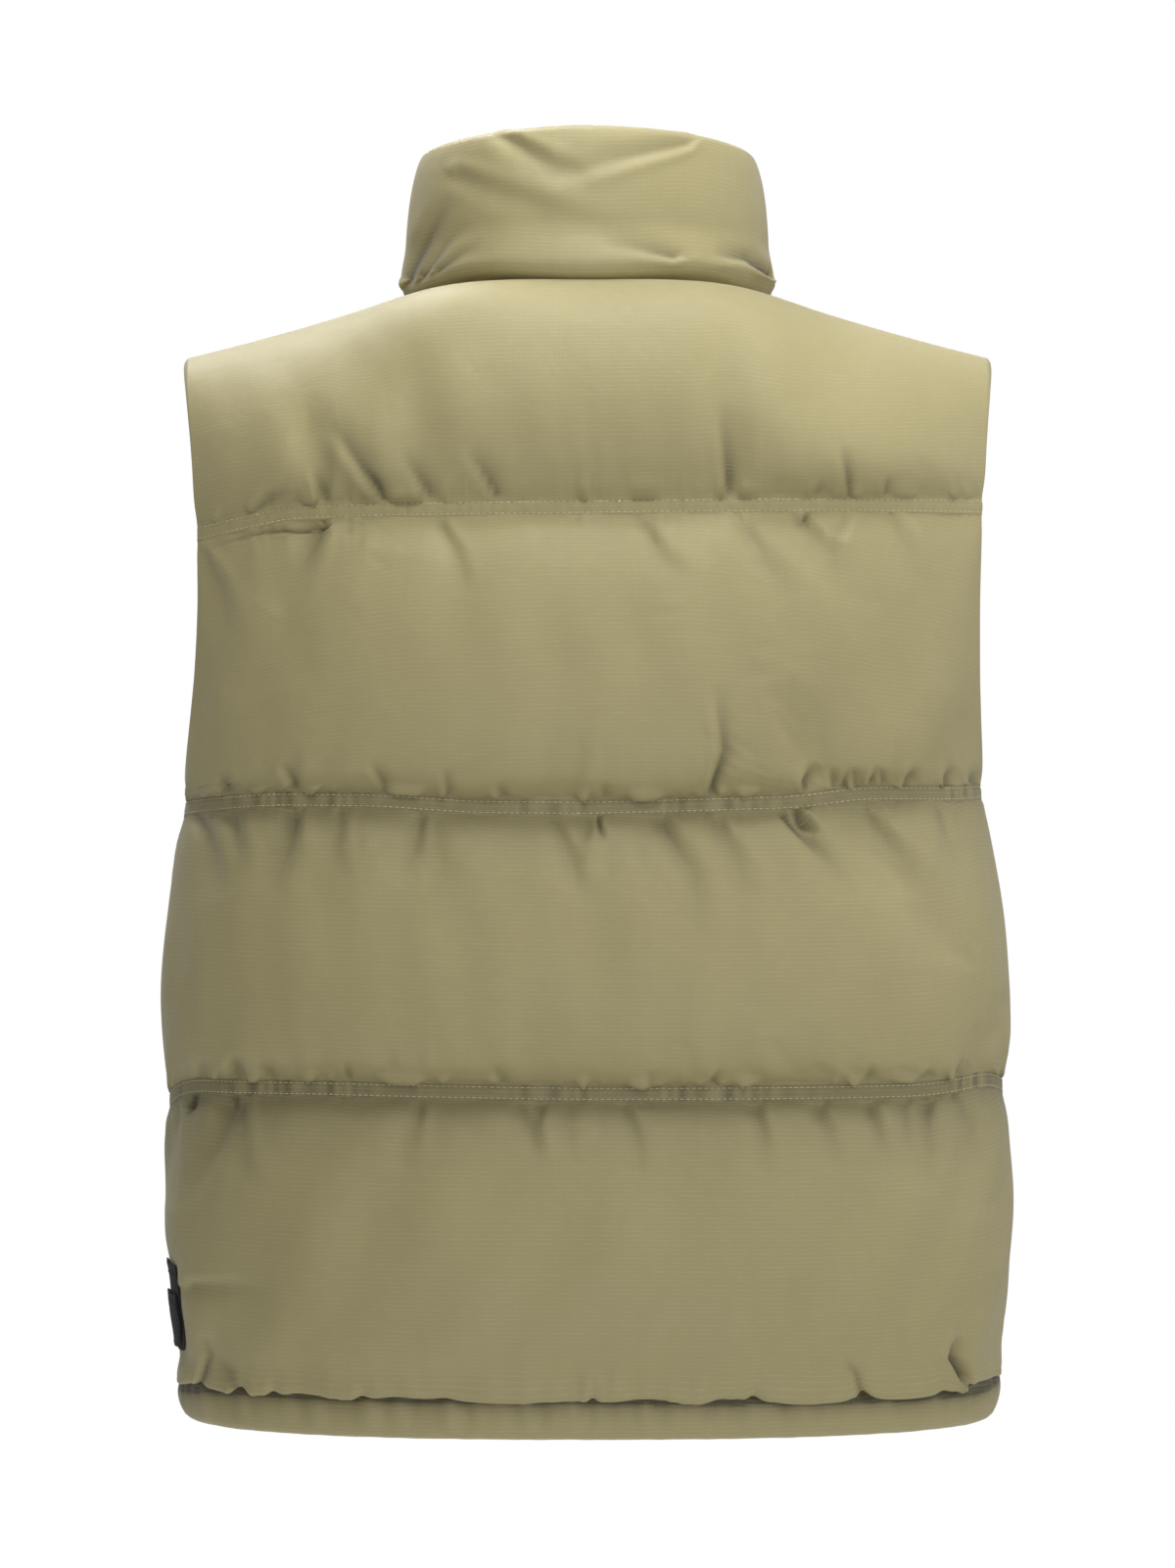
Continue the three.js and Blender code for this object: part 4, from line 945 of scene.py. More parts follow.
def new_piece(name, points, faces, uv, material, painted_shade=None):
    """A smooth mesh object from points in mm, with a UV map in metres, riding on the vest. The optional
    attribute holds the shade painted at each point, from 0 to 1."""
    mesh = bpy.data.meshes.new(name)
    mesh.from_pydata(points * MM, [], faces.tolist() if isinstance(faces, np.ndarray) else faces)
    corners = np.empty(len(mesh.loops), dtype=np.int32)
    mesh.loops.foreach_get("vertex_index", corners)
    layer = mesh.uv_layers.new(name="cloth")
    layer.data.foreach_set("uv", (uv[corners] * MM).ravel())
    if painted_shade is not None:
        mesh.attributes.new("painted_shade", "FLOAT", "POINT").data.foreach_set("value", painted_shade.astype(np.float32))
    mesh.polygons.foreach_set("use_smooth", np.ones(len(mesh.polygons), bool))
    mesh.update()
    obj = bpy.data.objects.new(name, mesh)
    scene.collection.objects.link(obj)
    mesh.materials.append(material)
    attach(obj, "vest")
    return obj


def edge_loop(rows, columns):
    """The grid's outside points in order, from its first corner along the first row."""
    index = np.arange(rows * columns).reshape(rows, columns)
    return np.concatenate([index[0], index[1:, -1], index[-1, -2::-1], index[-2:0:-1, 0]])


def closed_wall(outer, inner, rim, steps=3):
    """Points and faces of a wall: both grids, and loops between their edges that bulge away from
    the grid by rim shares (low, high, first, last) of half the wall, as a sine. The inner grid has
    half as many steps each way, so five-sided faces join it to the last loop."""
    rows, columns = outer.shape[:2]
    loop = edge_loop(rows, columns)
    inner_loop = edge_loop(*inner.shape[:2])
    away = np.zeros_like(outer)
    away[0] += rim[0] * unit(outer[0] - outer[1])
    away[-1] += rim[1] * unit(outer[-1] - outer[-2])
    away[:, 0] += rim[2] * unit(outer[:, 0] - outer[:, 1])
    away[:, -1] += rim[3] * unit(outer[:, -1] - outer[:, -2])
    away = away.reshape(-1, 3)[loop]
    edge = outer.reshape(-1, 3)[loop]
    coarse = inner.reshape(-1, 3)[inner_loop]
    back = np.empty_like(edge)
    back[::2], back[1::2] = coarse, (coarse + np.roll(coarse, -1, axis=0)) / 2
    half = np.linalg.norm(edge - back, axis=-1, keepdims=True) / 2
    shares = np.linspace(0, 1, steps + 2)[1:-1]
    rims = [mix(edge, back, t) + away * half * math.sin(math.pi * t) for t in shares]
    points = np.concatenate([outer.reshape(-1, 3), inner.reshape(-1, 3), *rims])
    count, inner_count = rows * columns, inner.shape[0] * inner.shape[1]
    rim_start = count + inner_count
    loops = [loop, *(rim_start + len(loop) * k + np.arange(len(loop)) for k in range(steps))]
    rim_quads = [np.stack([a, b, np.roll(b, -1), np.roll(a, -1)], axis=-1) for a, b in zip(loops, loops[1:])]
    quads = [grid_quads(rows, columns), grid_quads(*inner.shape[:2], count)[:, ::-1]]
    quads = np.concatenate(quads + rim_quads)
    last, far = loops[-1], inner_loop + count
    joins = np.stack([last[::2], far, np.roll(far, -1), np.roll(last[::2], -1), last[1::2]], axis=-1)
    if signed_volume(points, quads) < 0:
        quads, joins = quads[:, ::-1], joins[:, ::-1]
    return points, quads.tolist() + joins.tolist(), loop


def wall_piece(name, outer, inner, plan, rim, material, painted_shade=None):
    """A closed cloth piece from fine grids, with the cloth's plan as its UV map. The inner face and
    the rim get no painted shade."""
    points, faces, loop = closed_wall(outer, inner, rim)
    uv = plan.reshape(-1, 2)
    uv = np.concatenate([uv, plan[::2, ::2].reshape(-1, 2), *[uv[loop]] * 3])
    if painted_shade is not None:
        painted_shade = np.concatenate([painted_shade.ravel(), np.zeros(len(points) - painted_shade.size)])
    return new_piece(name, points, faces, uv, material, painted_shade)


# %% [markdown]
# ## Listed creases
# The stitching draws the cloth into sharp little tucks that a coarse simulation smooths over. Each
# crease is a line in the picture from behind, with a width, a depth and a fade. A front's
# creases are lines on the same picture seen from the front. The cloth sinks along the line and
# rises a little beside it, and shade is painted along its core.

# %% Creases
# width in pixels, depth in mm, then across and down of the line's three points, from the seam outwards
BACK_CREASES = (
    (5, 5, 335, 527, 331, 508, 322, 480), (8, 3.6, 396, 514, 368, 476, 339, 432),
    (7, 2.8, 447, 520, 431, 492, 413, 463), (7, 2.8, 514, 516, 497, 487, 477, 456),
    (8, 2.6, 746, 512, 743, 465, 738, 415), (6, 2.6, 869, 514, 867, 486, 862, 456),
    (4, 3.4, 908, 521, 905, 505, 908, 486), (5, 3.2, 822, 528, 830, 512, 842, 492),
    (6, 4.5, 236, 538, 262, 516, 296, 500), (4, 3, 330, 532, 316, 518, 296, 510),
    (10, 6, 330, 533, 312, 566, 288, 602), (7, 4, 208, 566, 219, 590, 224, 630),
    (6, 3.6, 816, 528, 828, 542, 840, 562), (8, 2.4, 762, 536, 778, 566, 800, 596),
    (7, 2.4, 862, 532, 852, 560, 848, 592), (7, 2.2, 655, 530, 672, 560, 700, 588),
    (6, 2.2, 914, 528, 926, 552, 930, 580), (6, 2.4, 450, 532, 462, 556, 470, 590),
    (5, 3.4, 305, 818, 300, 800, 288, 778), (4, 3.6, 512, 829, 517, 818, 508, 800),
    (4, 3.2, 612, 832, 618, 818, 616, 800), (7, 2.9, 722, 826, 741, 768, 733, 700),
    (5, 6, 822, 822, 824, 800, 835, 780), (4, 3.2, 846, 818, 852, 802, 850, 784),
    (4, 3.4, 858, 817, 862, 800, 868, 784), (4, 3.2, 872, 815, 874, 800, 872, 782),
    (4, 3.4, 886, 813, 890, 797, 897, 782), (4, 3, 900, 813, 902, 798, 900, 784),
    (5, 4.4, 917, 814, 926, 798, 938, 782), (5, 3.4, 965, 812, 968, 796, 976, 782),
    (5, 3.6, 996, 810, 994, 798, 998, 784), (5, 2.4, 395, 818, 390, 798, 378, 776),
    (5, 2.2, 455, 822, 458, 806, 454, 784), (6, 3, 240, 822, 232, 806, 222, 786),
    (3.5, 7, 812, 818, 817, 836, 836, 851), (3, 3.4, 612, 836, 614, 846, 618, 858),
    (4, 2.6, 800, 832, 822, 854, 846, 880), (3, 3, 336, 539, 272, 542, 206, 560),
    (9, 4.8, 300, 834, 292, 860, 278, 896), (7, 3.2, 205, 836, 214, 862, 220, 900),
    (7, 2.8, 240, 832, 244, 860, 240, 894), (7, 2.8, 568, 836, 578, 866, 586, 900),
    (7, 2.6, 604, 836, 594, 862, 586, 890), (9, 3.8, 676, 838, 700, 880, 707, 945),
    (8, 2.8, 732, 838, 748, 870, 754, 905), (8, 4, 820, 842, 838, 868, 860, 898),
    (7, 3.4, 892, 832, 908, 858, 928, 890), (6, 2.4, 430, 836, 424, 862, 410, 890),
    (5, 2.4, 960, 828, 968, 850, 980, 874), (6, 2.2, 350, 832, 346, 860, 352, 888),
    (6, 6, 238, 1116, 242, 1098, 238, 1076), (4, 4, 572, 1121, 580, 1113, 594, 1106),
    (5, 3.6, 722, 1119, 728, 1106, 738, 1094), (5, 3.8, 845, 1121, 856, 1112, 872, 1104),
    (5, 5.6, 928, 1118, 938, 1106, 954, 1094), (6, 5.6, 974, 1112, 978, 1100, 988, 1082),
    (5, 2.8, 285, 1116, 278, 1100, 266, 1086), (5, 2.4, 520, 1120, 514, 1104, 504, 1090),
    (5, 2.6, 350, 1118, 356, 1102, 354, 1084), (5, 2.4, 660, 1122, 666, 1108, 664, 1092),
    (5, 2.6, 890, 1118, 886, 1102, 894, 1086), (6, 3.2, 195, 1128, 204, 1104, 206, 1080),
    (10, 5, 238, 1126, 222, 1160, 192, 1212), (7, 3.2, 250, 1126, 246, 1160, 252, 1196),
    (6, 2.6, 534, 1130, 542, 1152, 544, 1176), (6, 2.4, 552, 1130, 546, 1150, 542, 1166),
    (6, 2.8, 773, 1130, 778, 1154, 776, 1184), (6, 2.8, 838, 1130, 846, 1150, 850, 1180),
    (7, 3.6, 890, 1130, 898, 1152, 907, 1184), (6, 2.8, 925, 1128, 930, 1150, 928, 1180),
    (8, 4.6, 950, 1126, 952, 1158, 948, 1198), (6, 3.2, 980, 1118, 992, 1144, 998, 1180),
    (6, 2.2, 430, 1128, 424, 1152, 412, 1180), (6, 2, 640, 1130, 648, 1156, 650, 1186),
    (6, 7, 984, 1404, 974, 1386, 984, 1362), (5, 2.2, 250, 1414, 238, 1400, 220, 1388),
    (5, 2.4, 205, 1404, 212, 1384, 206, 1364), (5, 1.8, 880, 1418, 874, 1402, 860, 1386),
    (8, 3.4, 196, 1312, 228, 1314, 262, 1320),
)
COLLAR_CREASES = (
    (6, 3.6, 512, 136, 552, 160, 586, 174), (6, 3.6, 704, 146, 640, 161, 586, 174),
    (9, 2.6, 417, 284, 436, 244, 462, 196), (7, 1.9, 430, 282, 452, 252, 476, 226),
    (6, 1.5, 446, 276, 470, 258, 500, 246), (8, 1.9, 470, 180, 530, 202, 600, 230),
    (5, 3.4, 790, 282, 764, 264, 726, 258), (8, 1.6, 690, 262, 650, 252, 610, 246),
)
FRONT_SEED = 23
LIPS = (0.4, 0.1)  # how high the cloth stands beside a crease, as a share of its depth
STEEP = (0.7, 1.5)  # reach of a crease on its steep and on its gentle side
CREASE_DEPTH = 1.25
SHARPEST = 4  # creases of this width or less are sharp, with full painted shade, wherever they run
# a crease that falls from its seam is wider, shallower and longer than one that rises
SOFT = {"width": 1.5, "depth": 0.68, "long": 1.3}


def crease_depth(x, y, creases):
    """Depth of all creases at picture places, and the shade painted in their cores, from 0 to 1.
    Each crease is a bell across its line, steep on one side and gentle on the other, less a high lip
    on the steep side, and it fades along the line as (1 - t)^0.7."""
    total, crease_shade = np.zeros_like(x), np.zeros_like(x)
    for width, depth, *line in creases:
        line = np.array(line, float).reshape(-1, 2)
        falls = line[-1, 1] > line[0, 1] and width > SHARPEST
        if falls:
            width, depth = width * SOFT["width"], depth * SOFT["depth"]
            line = line[0] + (line - line[0]) * SOFT["long"]
        reach = 4 * width
        low, high = line.min(axis=0) - reach, line.max(axis=0) + reach
        near = (x > low[0]) & (x < high[0]) & (y > low[1]) & (y < high[1])
        if not near.any():
            continue
        place = np.stack([x[near], y[near]], axis=-1)
        steps = np.diff(line, axis=0)
        sizes = np.linalg.norm(steps, axis=-1)
        before = np.concatenate([[0], np.cumsum(sizes)])
        best = np.full(len(place), 1e9)
        along = np.zeros(len(place))
        hand = np.ones(len(place))
        for start, step, size, done in zip(line, steps, sizes, before):
            offset = place - start
            t = np.clip((offset @ step) / size**2, 0, 1)
            away = np.linalg.norm(offset - t[:, None] * step, axis=-1)
            closer = away < best
            best, along = np.where(closer, away, best), np.where(closer, done + t * size, along)
            hand = np.where(closer, np.sign(offset[:, 0] * step[1] - offset[:, 1] * step[0]), hand)
        share = along / before[-1]
        steep = np.where(hand > 0, STEEP[0], STEEP[1])
        spread = width * (0.7 + 0.8 * share) * steep
        lip = np.where(hand > 0, LIPS[0], LIPS[1])
        across = bell(best, spread) - lip * bell(best - 2 * spread, 1.1 * spread)
        total[near] += CREASE_DEPTH * depth * across * (1 - share) ** 0.7
        # painted shade in the crease's core: strong, and weaker where a wide crease falls from its seam
        core = bell(best, 0.6 * spread) * (1 - share) * min(1, depth / 3.2)
        crease_shade[near] = np.maximum(crease_shade[near], core * (0.35 if falls else 1.35))
    return total, crease_shade


def front_creases():
    """Seeded creases for the fronts, in the picture seen from the front: they start at a seam at
    uneven places, lean a little either way, and are 25 to 90 pixels long."""
    draw = np.random.default_rng(FRONT_SEED)
    found = []
    for level, ends in ((523, (-1,)), (527, (1,)), (826, (-1, 1)), (1122, (-1, 1)), (1420, (-1,))):
        for end in ends:
            x = 190 + draw.uniform(0, 40)
            while x < 1010:
                long = draw.uniform(24, 80)
                lean, bend = draw.uniform(-0.5, 0.5), draw.uniform(-8, 8)
                far = (x + lean * long, level + end * (12 + long))
                middle = ((x + far[0]) / 2 + bend, level + end * (6 + long / 2))
                size = (draw.uniform(4.5, 8), draw.uniform(2.0, 4.6))
                found.append((*size, x, level + end * 4, *middle, *far))
                x += draw.uniform(18, 74)
    return found


FRONT_CREASES = front_creases()
print("creases behind, before, on the collar:", *map(len, (BACK_CREASES, FRONT_CREASES, COLLAR_CREASES)))


def soft_dents(u, v, seed, size):
    """Shallow uneven hollows all over a cloth, longer up than across: eight slow waves at seeded
    turns within a third of a right angle, each swaying, added."""
    draw = np.random.default_rng(seed)
    total = np.zeros_like(u)
    for _ in range(8):
        turn, length, phase = draw.uniform(-0.55, 0.55), draw.uniform(34, 120), draw.uniform(0, 6.28)
        sway = 0.9 * np.sin(v / draw.uniform(16, 40) + phase)
        total += np.sin(2 * np.pi * (u * math.cos(turn) + v * math.sin(turn)) / length + phase + sway)
    return total / 8 * size


# %% Lips, puckers, dents and the painted shade of the folds and seams
# how far a lip drops and stands out, its height over the seam, its reach, and how soon it starts
LIP = {"drop": 9.0, "out": 3.2, "at": 5.5, "reach": 7.0, "foot": 3}
TUCK = {"drop": 4.2, "out": 0.6, "at": 3.5, "reach": 4.0, "foot": 2}
# place across the picture, width, share of the lip that is caught up
LIP_NOTCHES = ((250, 8, 0.4), (282, 5, 0.3), (372, 8, 0.3), (455, 14, 0.2), (606, 5, 0.3), (738, 16, 0.2),
               (770, 6, 0.35), (881, 11, 0.5), (962, 7, 0.3), (996, 14, 0.6), (200, 14, 0.5))
# how far up the yoke its rows are evened
CALM = {"share": 0.5, "from": 0.3, "within": 0.25, "until": 0.9, "out_by": 0.08}
PUCKER = {"depth": 0.4, "reach": 7.0}
# how deep the side tab is pressed in, and where: from the side seam, in height, and how far round
PRESS = {"depth": 4.5, "along": 34.0, "height": -572.0, "reach": 34.0}
DENTS = {"yoke": 0.8, "baffle": 2.4, "collar": 0.7}  # size of the soft dents
# how deep the painted shade is above a seam, and its reach
PAINTED_SEAM_SHADE = {"above": (0.3, 3.5), "collar": (0.26, 13.0)}
# the same painted shade under the seam over a baffle, and on the strip at the foot of a piece
PAINTED_SHADE_BELOW_SEAM = {"2": (0.0, 10.0), "3": (0.43, 30.0), "4": (0.52, 34.0)}
PAINTED_SHADE_ON_STRIP = {"yoke": 0.08, "2": 0.48, "3": 0.56, "4": 0.0, "collar": 0.0}


def hem_lip(x):
    """How far the last baffle hangs over the hem band at each place across, from 0 to about 1: much
    the same all along, less at the notches where a stitch has caught the cloth."""
    uneven = 0.9 + 0.14 * np.sin(x / 26 + 2 * np.sin(x / 57))
    for place, width, caught in LIP_NOTCHES:
        uneven = uneven * (1 - caught * bell(x - place, width))
    return uneven


def seam_lip(along):
    """How far the cloth above a felled strip sags onto it, from 0 to 1: it wanders in steps of one
    to three centimetres."""
    wave = np.sin(along / 3.1 + 2.6 * np.sin(along / 11)) + np.sin(along / 7.3 + 2 * np.sin(along / 29) + 1)
    return np.clip(0.1 + 0.5 * wave, 0, 1)


def lip_move(form, uneven, above, out):
    """The way a lip's points move: out and down by a bell a little above the seam."""
    above = np.maximum(above, 0)
    size = uneven * bell(above - form["at"], form["reach"]) * grown(above, form["foot"])
    return (out * form["out"] - np.array([0, 0, form["drop"]])) * size[..., None]


def tab_press(distance, z):
    """How deep the side tab is pressed into the padding: a flat-topped bell round the tab's middle."""
    round_it = (distance - PRESS["along"]) ** 4 + (z - PRESS["height"]) ** 4
    return PRESS["depth"] * np.exp(-round_it / PRESS["reach"] ** 4)


def calmer(grid, weight, passes=160):
    """A grid evened along its rows: each pass moves every point towards the middle of its two
    neighbours in the row, by its weight."""
    for _ in range(passes):
        middle = (grid[:, :-2] + grid[:, 2:]) / 2
        evened = mix(grid[:, 1:-1], middle, weight[:, 1:-1, None])
        grid = np.concatenate([grid[:, :1], evened, grid[:, -1:]], axis=1)
    return grid


def puckers(along, away):
    """Small upright wrinkles where a seam gathers the cloth: waves of 6 to 20 mm that come and go,
    fading within a centimetre of the stitches."""
    wave = np.sin(along / 1.5 + 2.4 * np.sin(along / 7))
    wave = wave + 0.8 * np.sin(along / 2.9 + 2 * np.sin(along / 17) + 1)
    patch = np.clip(0.5 + 0.7 * np.sin(along / 19 + 1.5 * np.sin(along / 41)), 0, 1)
    return PUCKER["depth"] * wave * patch * np.exp(-np.maximum(away, 0) / PUCKER["reach"])


# %% Build the padded pieces
def creases_on(name, x, y, behind):
    """Depth and painted shade of a piece's own creases. The collar's front has all but the first two, with no
    painted shade.
    """
    if name != "collar":
        return crease_depth(x, y, BACK_CREASES if name.startswith("back") else FRONT_CREASES)
    depth, crease_shade = crease_depth(x, y, COLLAR_CREASES)
    before = crease_depth(x, y, COLLAR_CREASES[2:])[0]
    return np.where(behind, depth, before * 0.8), np.where(behind, crease_shade, 0)


def painted_seam_shade(name, along, free, height):
    """The painted shade beside a piece's seams, fading from each, and on its felled strip."""
    level = name.rsplit("_", 1)[-1]
    shade, reach = PAINTED_SEAM_SHADE["collar" if name == "collar" else "above"]
    # painted shade on the felled strip, uneven with its puckers
    worn = PAINTED_SHADE_ON_STRIP[level] * (1 + 0.3 * puckers(along, 0) / PUCKER["depth"])
    painted_shade = np.where(free > 0, shade * np.exp(-free / reach), worn)
    if kind_of(name) == "baffle":
        shade, reach = PAINTED_SHADE_BELOW_SEAM[level]
        painted_shade = painted_shade + shade * np.exp(-np.maximum(height - free, 0) / reach)
    return painted_shade


def dress(name, seed):
    """Finishes one padded piece: finer grids, creases and soft dents along its normals, all held
    back at its edges and on its strip, then the closed wall."""
    piece, kind = pieces[name], kind_of(name)
    if kind == "yoke":
        up = np.linspace(0, 1, len(piece["outer"]))[:, None] + 0 * piece["plan"][..., 0]
        weight = CALM["share"] * smooth((up - CALM["from"]) / CALM["within"])
        weight = weight * (1 - smooth((up - CALM["until"]) / CALM["out_by"]))
        piece["outer"] = calmer(piece["outer"], weight)
    across = (1,) if name.startswith("back") else ()
    outer, out, plan = (finer(finer(piece[part]), across) for part in ("outer", "out", "plan"))
    normal = grid_normals(outer, out)
    along, up = plan[..., 0], plan[..., 1]
    free = up - up[2 * piece["strip"]]
    height = free[-1]
    from_seam = np.minimum(free, height - free)
    from_side = np.minimum(along - along[:, :1], along[:, -1:] - along)
    at_side = grown(from_side, 8)
    held = grown(from_seam, 3.5) * at_side
    x, y = picture_place(outer)
    behind = outer[..., 1] > 0
    turned = np.where(behind, x, PICTURE[0] - x)
    depth, crease_shade = creases_on(name, turned, y, behind)
    dents = soft_dents(along, up, seed, DENTS[kind])
    gathered = np.where(free > 0, puckers(along, from_seam) * grown(from_seam, 1.5), 0)
    gathered = gathered * at_side * (name != "collar")
    if kind == "yoke":
        dents = dents * (1 - smooth((free / height - 0.3) / 0.5))
        gathered = gathered * (free / height < 0.5)
    outer = outer + normal * ((dents - depth) * held + gathered)[..., None]
    if name.endswith("baffle_4"):
        outer = outer + lip_move(LIP, hem_lip(turned) * at_side, free, out)
    elif name != "collar":
        outer = outer + lip_move(TUCK, seam_lip(along) * at_side, free, out)
    if name == "back_baffle_4":
        outer = outer - out * tab_press(along[:, -1:] - along, outer[..., 2])[..., None]
    # painted shade: the creases' cores and the bands beside the seams
    painted_shade = np.clip(0.95 * crease_shade * held + painted_seam_shade(name, along, free, height), 0, 1)
    arch = np.sin(np.pi * np.linspace(0, 1, piece["inner"].shape[0])[:, None])
    ripple = soft_dents(along[::2, ::2], up[::2, ::2], seed + 50, 1.2)
    puffed = 2.4 * np.maximum(arch, 0) ** 0.6 + ripple * arch
    puffed = puffed * grown(from_side[::2, ::2], 12) * (name != "collar")
    inner = finer(piece["inner"], across) - out[::2, ::2] * puffed[..., None]
    piece.update(fine=outer, normal=normal)
    rim = (0, 0.9, 0.7, 0.7) if name == "collar" else (0, 0, 0.8, 0.8)
    obj = wall_piece(name + "_cloth", outer, inner, plan, rim, SHELL, painted_shade)
    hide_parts(name)
    return obj


for number, name in enumerate(pieces):
    obj = dress(name, 100 + number)
    print(obj.name, len(obj.data.polygons), "faces")

# %% [markdown]
# ## Hem band
# Below the last seam hangs a narrow casing, padded a little and rounded below. It isn't
# simulated: short uneven ripples, which the stitching draws in from above, are enough.

# %% Hem bands
HEM = {"bulge": 3.4, "ripple": 1.7, "waves": (14, 23, 37, 58)}
HEM_COLUMNS = {BACK: 221, FRONT: 111}
HEM_ROWS = 15


def hem_grid(side, columns, rows, seed):
    """Outer and inner points of the hem band: the body's base with a low bulge, rippled along."""
    s, share = np.meshgrid(columns, rows)
    z = mix(HEM_BOTTOM, seam_height(3, side, s), share)
    point, out, length = body_point(side, s, z)
    draw = np.random.default_rng(seed)
    along = s * length
    ripple = sum(np.sin(2 * np.pi * along / wave + draw.uniform(0, 6.28) + 2 * np.sin(along / (3.1 * wave)))
                 for wave in HEM["waves"]) / 3
    profile = np.maximum(np.sin(np.pi * share), 0) ** CROWN_FULLNESS
    thick = PRESSED + profile * (HEM["bulge"] + HEM["ripple"] * ripple * (0.4 + share))
    return point + out * thick[..., None], point, out


for seed, (side, label) in enumerate(PANELS, 40):
    columns = even_columns(side, label, HEM_COLUMNS)
    outer, inner, out = hem_grid(side, columns, np.linspace(0, 1, HEM_ROWS), seed)
    u, v = cloth_plan(outer)
    under = v[-1] - v
    # painted shadow under the last baffle's lip, darkest just below it
    shaded = 0.87 * bell(under, 11) + 0.8 * bell(under - 6, 2)
    plan = np.stack([u, v], axis=-1)
    hem = wall_piece(f"{label}_hem_cloth", outer, inner[::2, ::2], plan, (1, 0, 0.5, 0.5), SHELL, shaded)
    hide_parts(f"{label}_hem")
print("three hem bands")

# %% [markdown]
# ## Double-needle stitching
# Each quilting seam is felled: the cloth is folded flat and sewn with two parallel rows. A stitch is
# a short bead of thread, thin at both ends, laid along the strip. One mesh holds all the
# stitches of a panel, as copies of one bead of sixteen points.

# %% Stitches
STITCH = {"pitch": 3.3, "length": 2.5, "width": 0.5, "height": 0.34}
BEAD_RINGS = ((-0.5, 0.25), (-0.28, 1.0), (0.28, 1.0), (0.5, 0.25))


def bead():
    """Points and quads of one stitch along X: four square rings, closed at both ends."""
    turn = np.arange(4) * math.pi / 2 + math.pi / 4
    rings = [np.stack([np.full(4, at * STITCH["length"]), np.cos(turn) * STITCH["width"] * size / 1.41,
                       np.sin(turn) * STITCH["height"] * size / 1.41], axis=-1) for at, size in BEAD_RINGS]
    quads = np.array(ring_quads(4, len(rings)) + [[3, 2, 1, 0], [12, 13, 14, 15]])
    points = np.concatenate(rings)
    return points, quads if signed_volume(points, quads) > 0 else quads[:, ::-1]


def ring_quads(around, rings):
    """Quads between neighbouring rings of points."""
    turned = [(k, (k + 1) % around) for k in range(around)]
    return [[around * r + a, around * r + b, around * (r + 1) + b, around * (r + 1) + a]
            for r in range(rings - 1) for a, b in turned]


def copies(shape, quads, at, x, y, z):
    """Copies of a small shape at each place, its own axes turned to x, y and z there."""
    points = (at[:, None] + shape[None, :, :1] * x[:, None] + shape[None, :, 1:2] * y[:, None]
              + shape[None, :, 2:] * z[:, None])
    return points.reshape(-1, 3), quads[None] + (np.arange(len(at)) * len(shape))[:, None, None]


def read_along(values, length, places):
    """Values along a line, read at distances along it."""
    return np.stack([np.interp(places, length, values[:, k]) for k in range(3)], axis=-1)


def sew(name, rows, material):
    """One mesh of beads along rows of (line, normal), each bead turned along its row."""
    spots, ways, ups = [], [], []
    for line, normal in rows:
        length = arc_length(line, 0)
        places = np.arange(STITCH["pitch"] / 2, length[-1], STITCH["pitch"])
        spots.append(read_along(line, length, places))
        ways.append(unit(np.gradient(spots[-1], axis=0)))
        ups.append(unit(read_along(normal, length, places)))
    spots, ways, ups = (np.concatenate(x) for x in (spots, ways, ups))
    sides = unit(np.cross(ups, ways))
    points, faces = copies(*bead(), spots, ways, sides, np.cross(ways, sides))
    new_piece(name, points, faces.reshape(-1, 4), points[:, [0, 2]], material)
    print(name, len(spots), "stitches")


def strip_row(piece, share):
    """A row on a piece's felled strip, at a share of the strip's height, and its normals."""
    fine, normal = piece["fine"], piece["normal"]
    row = np.interp(share, np.append(STRIP_ROWS, 0.0), np.arange(len(STRIP_ROWS) + 1)) * 2
    low = int(row)
    line = mix(fine[low], fine[low + 1], row - low)
    way = mix(normal[low], normal[low + 1], row - low)
    return line[2:-2] + way[2:-2] * 0.12, way[2:-2]


for _, label in PANELS:
    rows = [strip_row(pieces[f"{label}_{part}"], share) for part in ("yoke", "baffle_2", "baffle_3")
            for share in NEEDLES]
    sew(f"{label}_stitching", rows, THREAD)

# %% [markdown]
# ## Zip
# A moulded zip closes the front: two woven tapes, two rows of teeth that mesh on the centre line, a
# slider near the top of the collar, and its pull. The tapes are thin sheets sewn to the fronts' edges.
# A tooth is a small block with a waist, set from the left and the right in turn.

# %% The zip's line
def zip_line():
    """Centre line of the zip: up the body, over the neck seam and up the collar, every few mm."""
    body = body_point(FRONT, np.zeros(120), np.linspace(HEM_BOTTOM, SEAM_LEVELS[0], 120))[0]
    top = float(yoke_top(FRONT, np.array([ZIP_SHARE]))[0])
    chest = yoke_point(FRONT, np.full(30, 1e-6), np.linspace(0, top, 31)[1:])
    collar = collar_base(np.ones(24), np.linspace(0, 1, 25)[1:])[0]
    line = np.concatenate([body, chest, collar])
    line[:, 0] = 0
    return line


def along_line(line, places):
    """Points at distances along a line, the way up it, and the way out of the front."""
    length = arc_length(line, 0)
    at, ahead, behind = (read_along(line, length, places + step) for step in (0, 3, -3))
    up = unit(ahead - behind)
    front = unit(np.stack([0 * places, -up[:, 2], up[:, 1]], axis=-1))
    return at, up, front


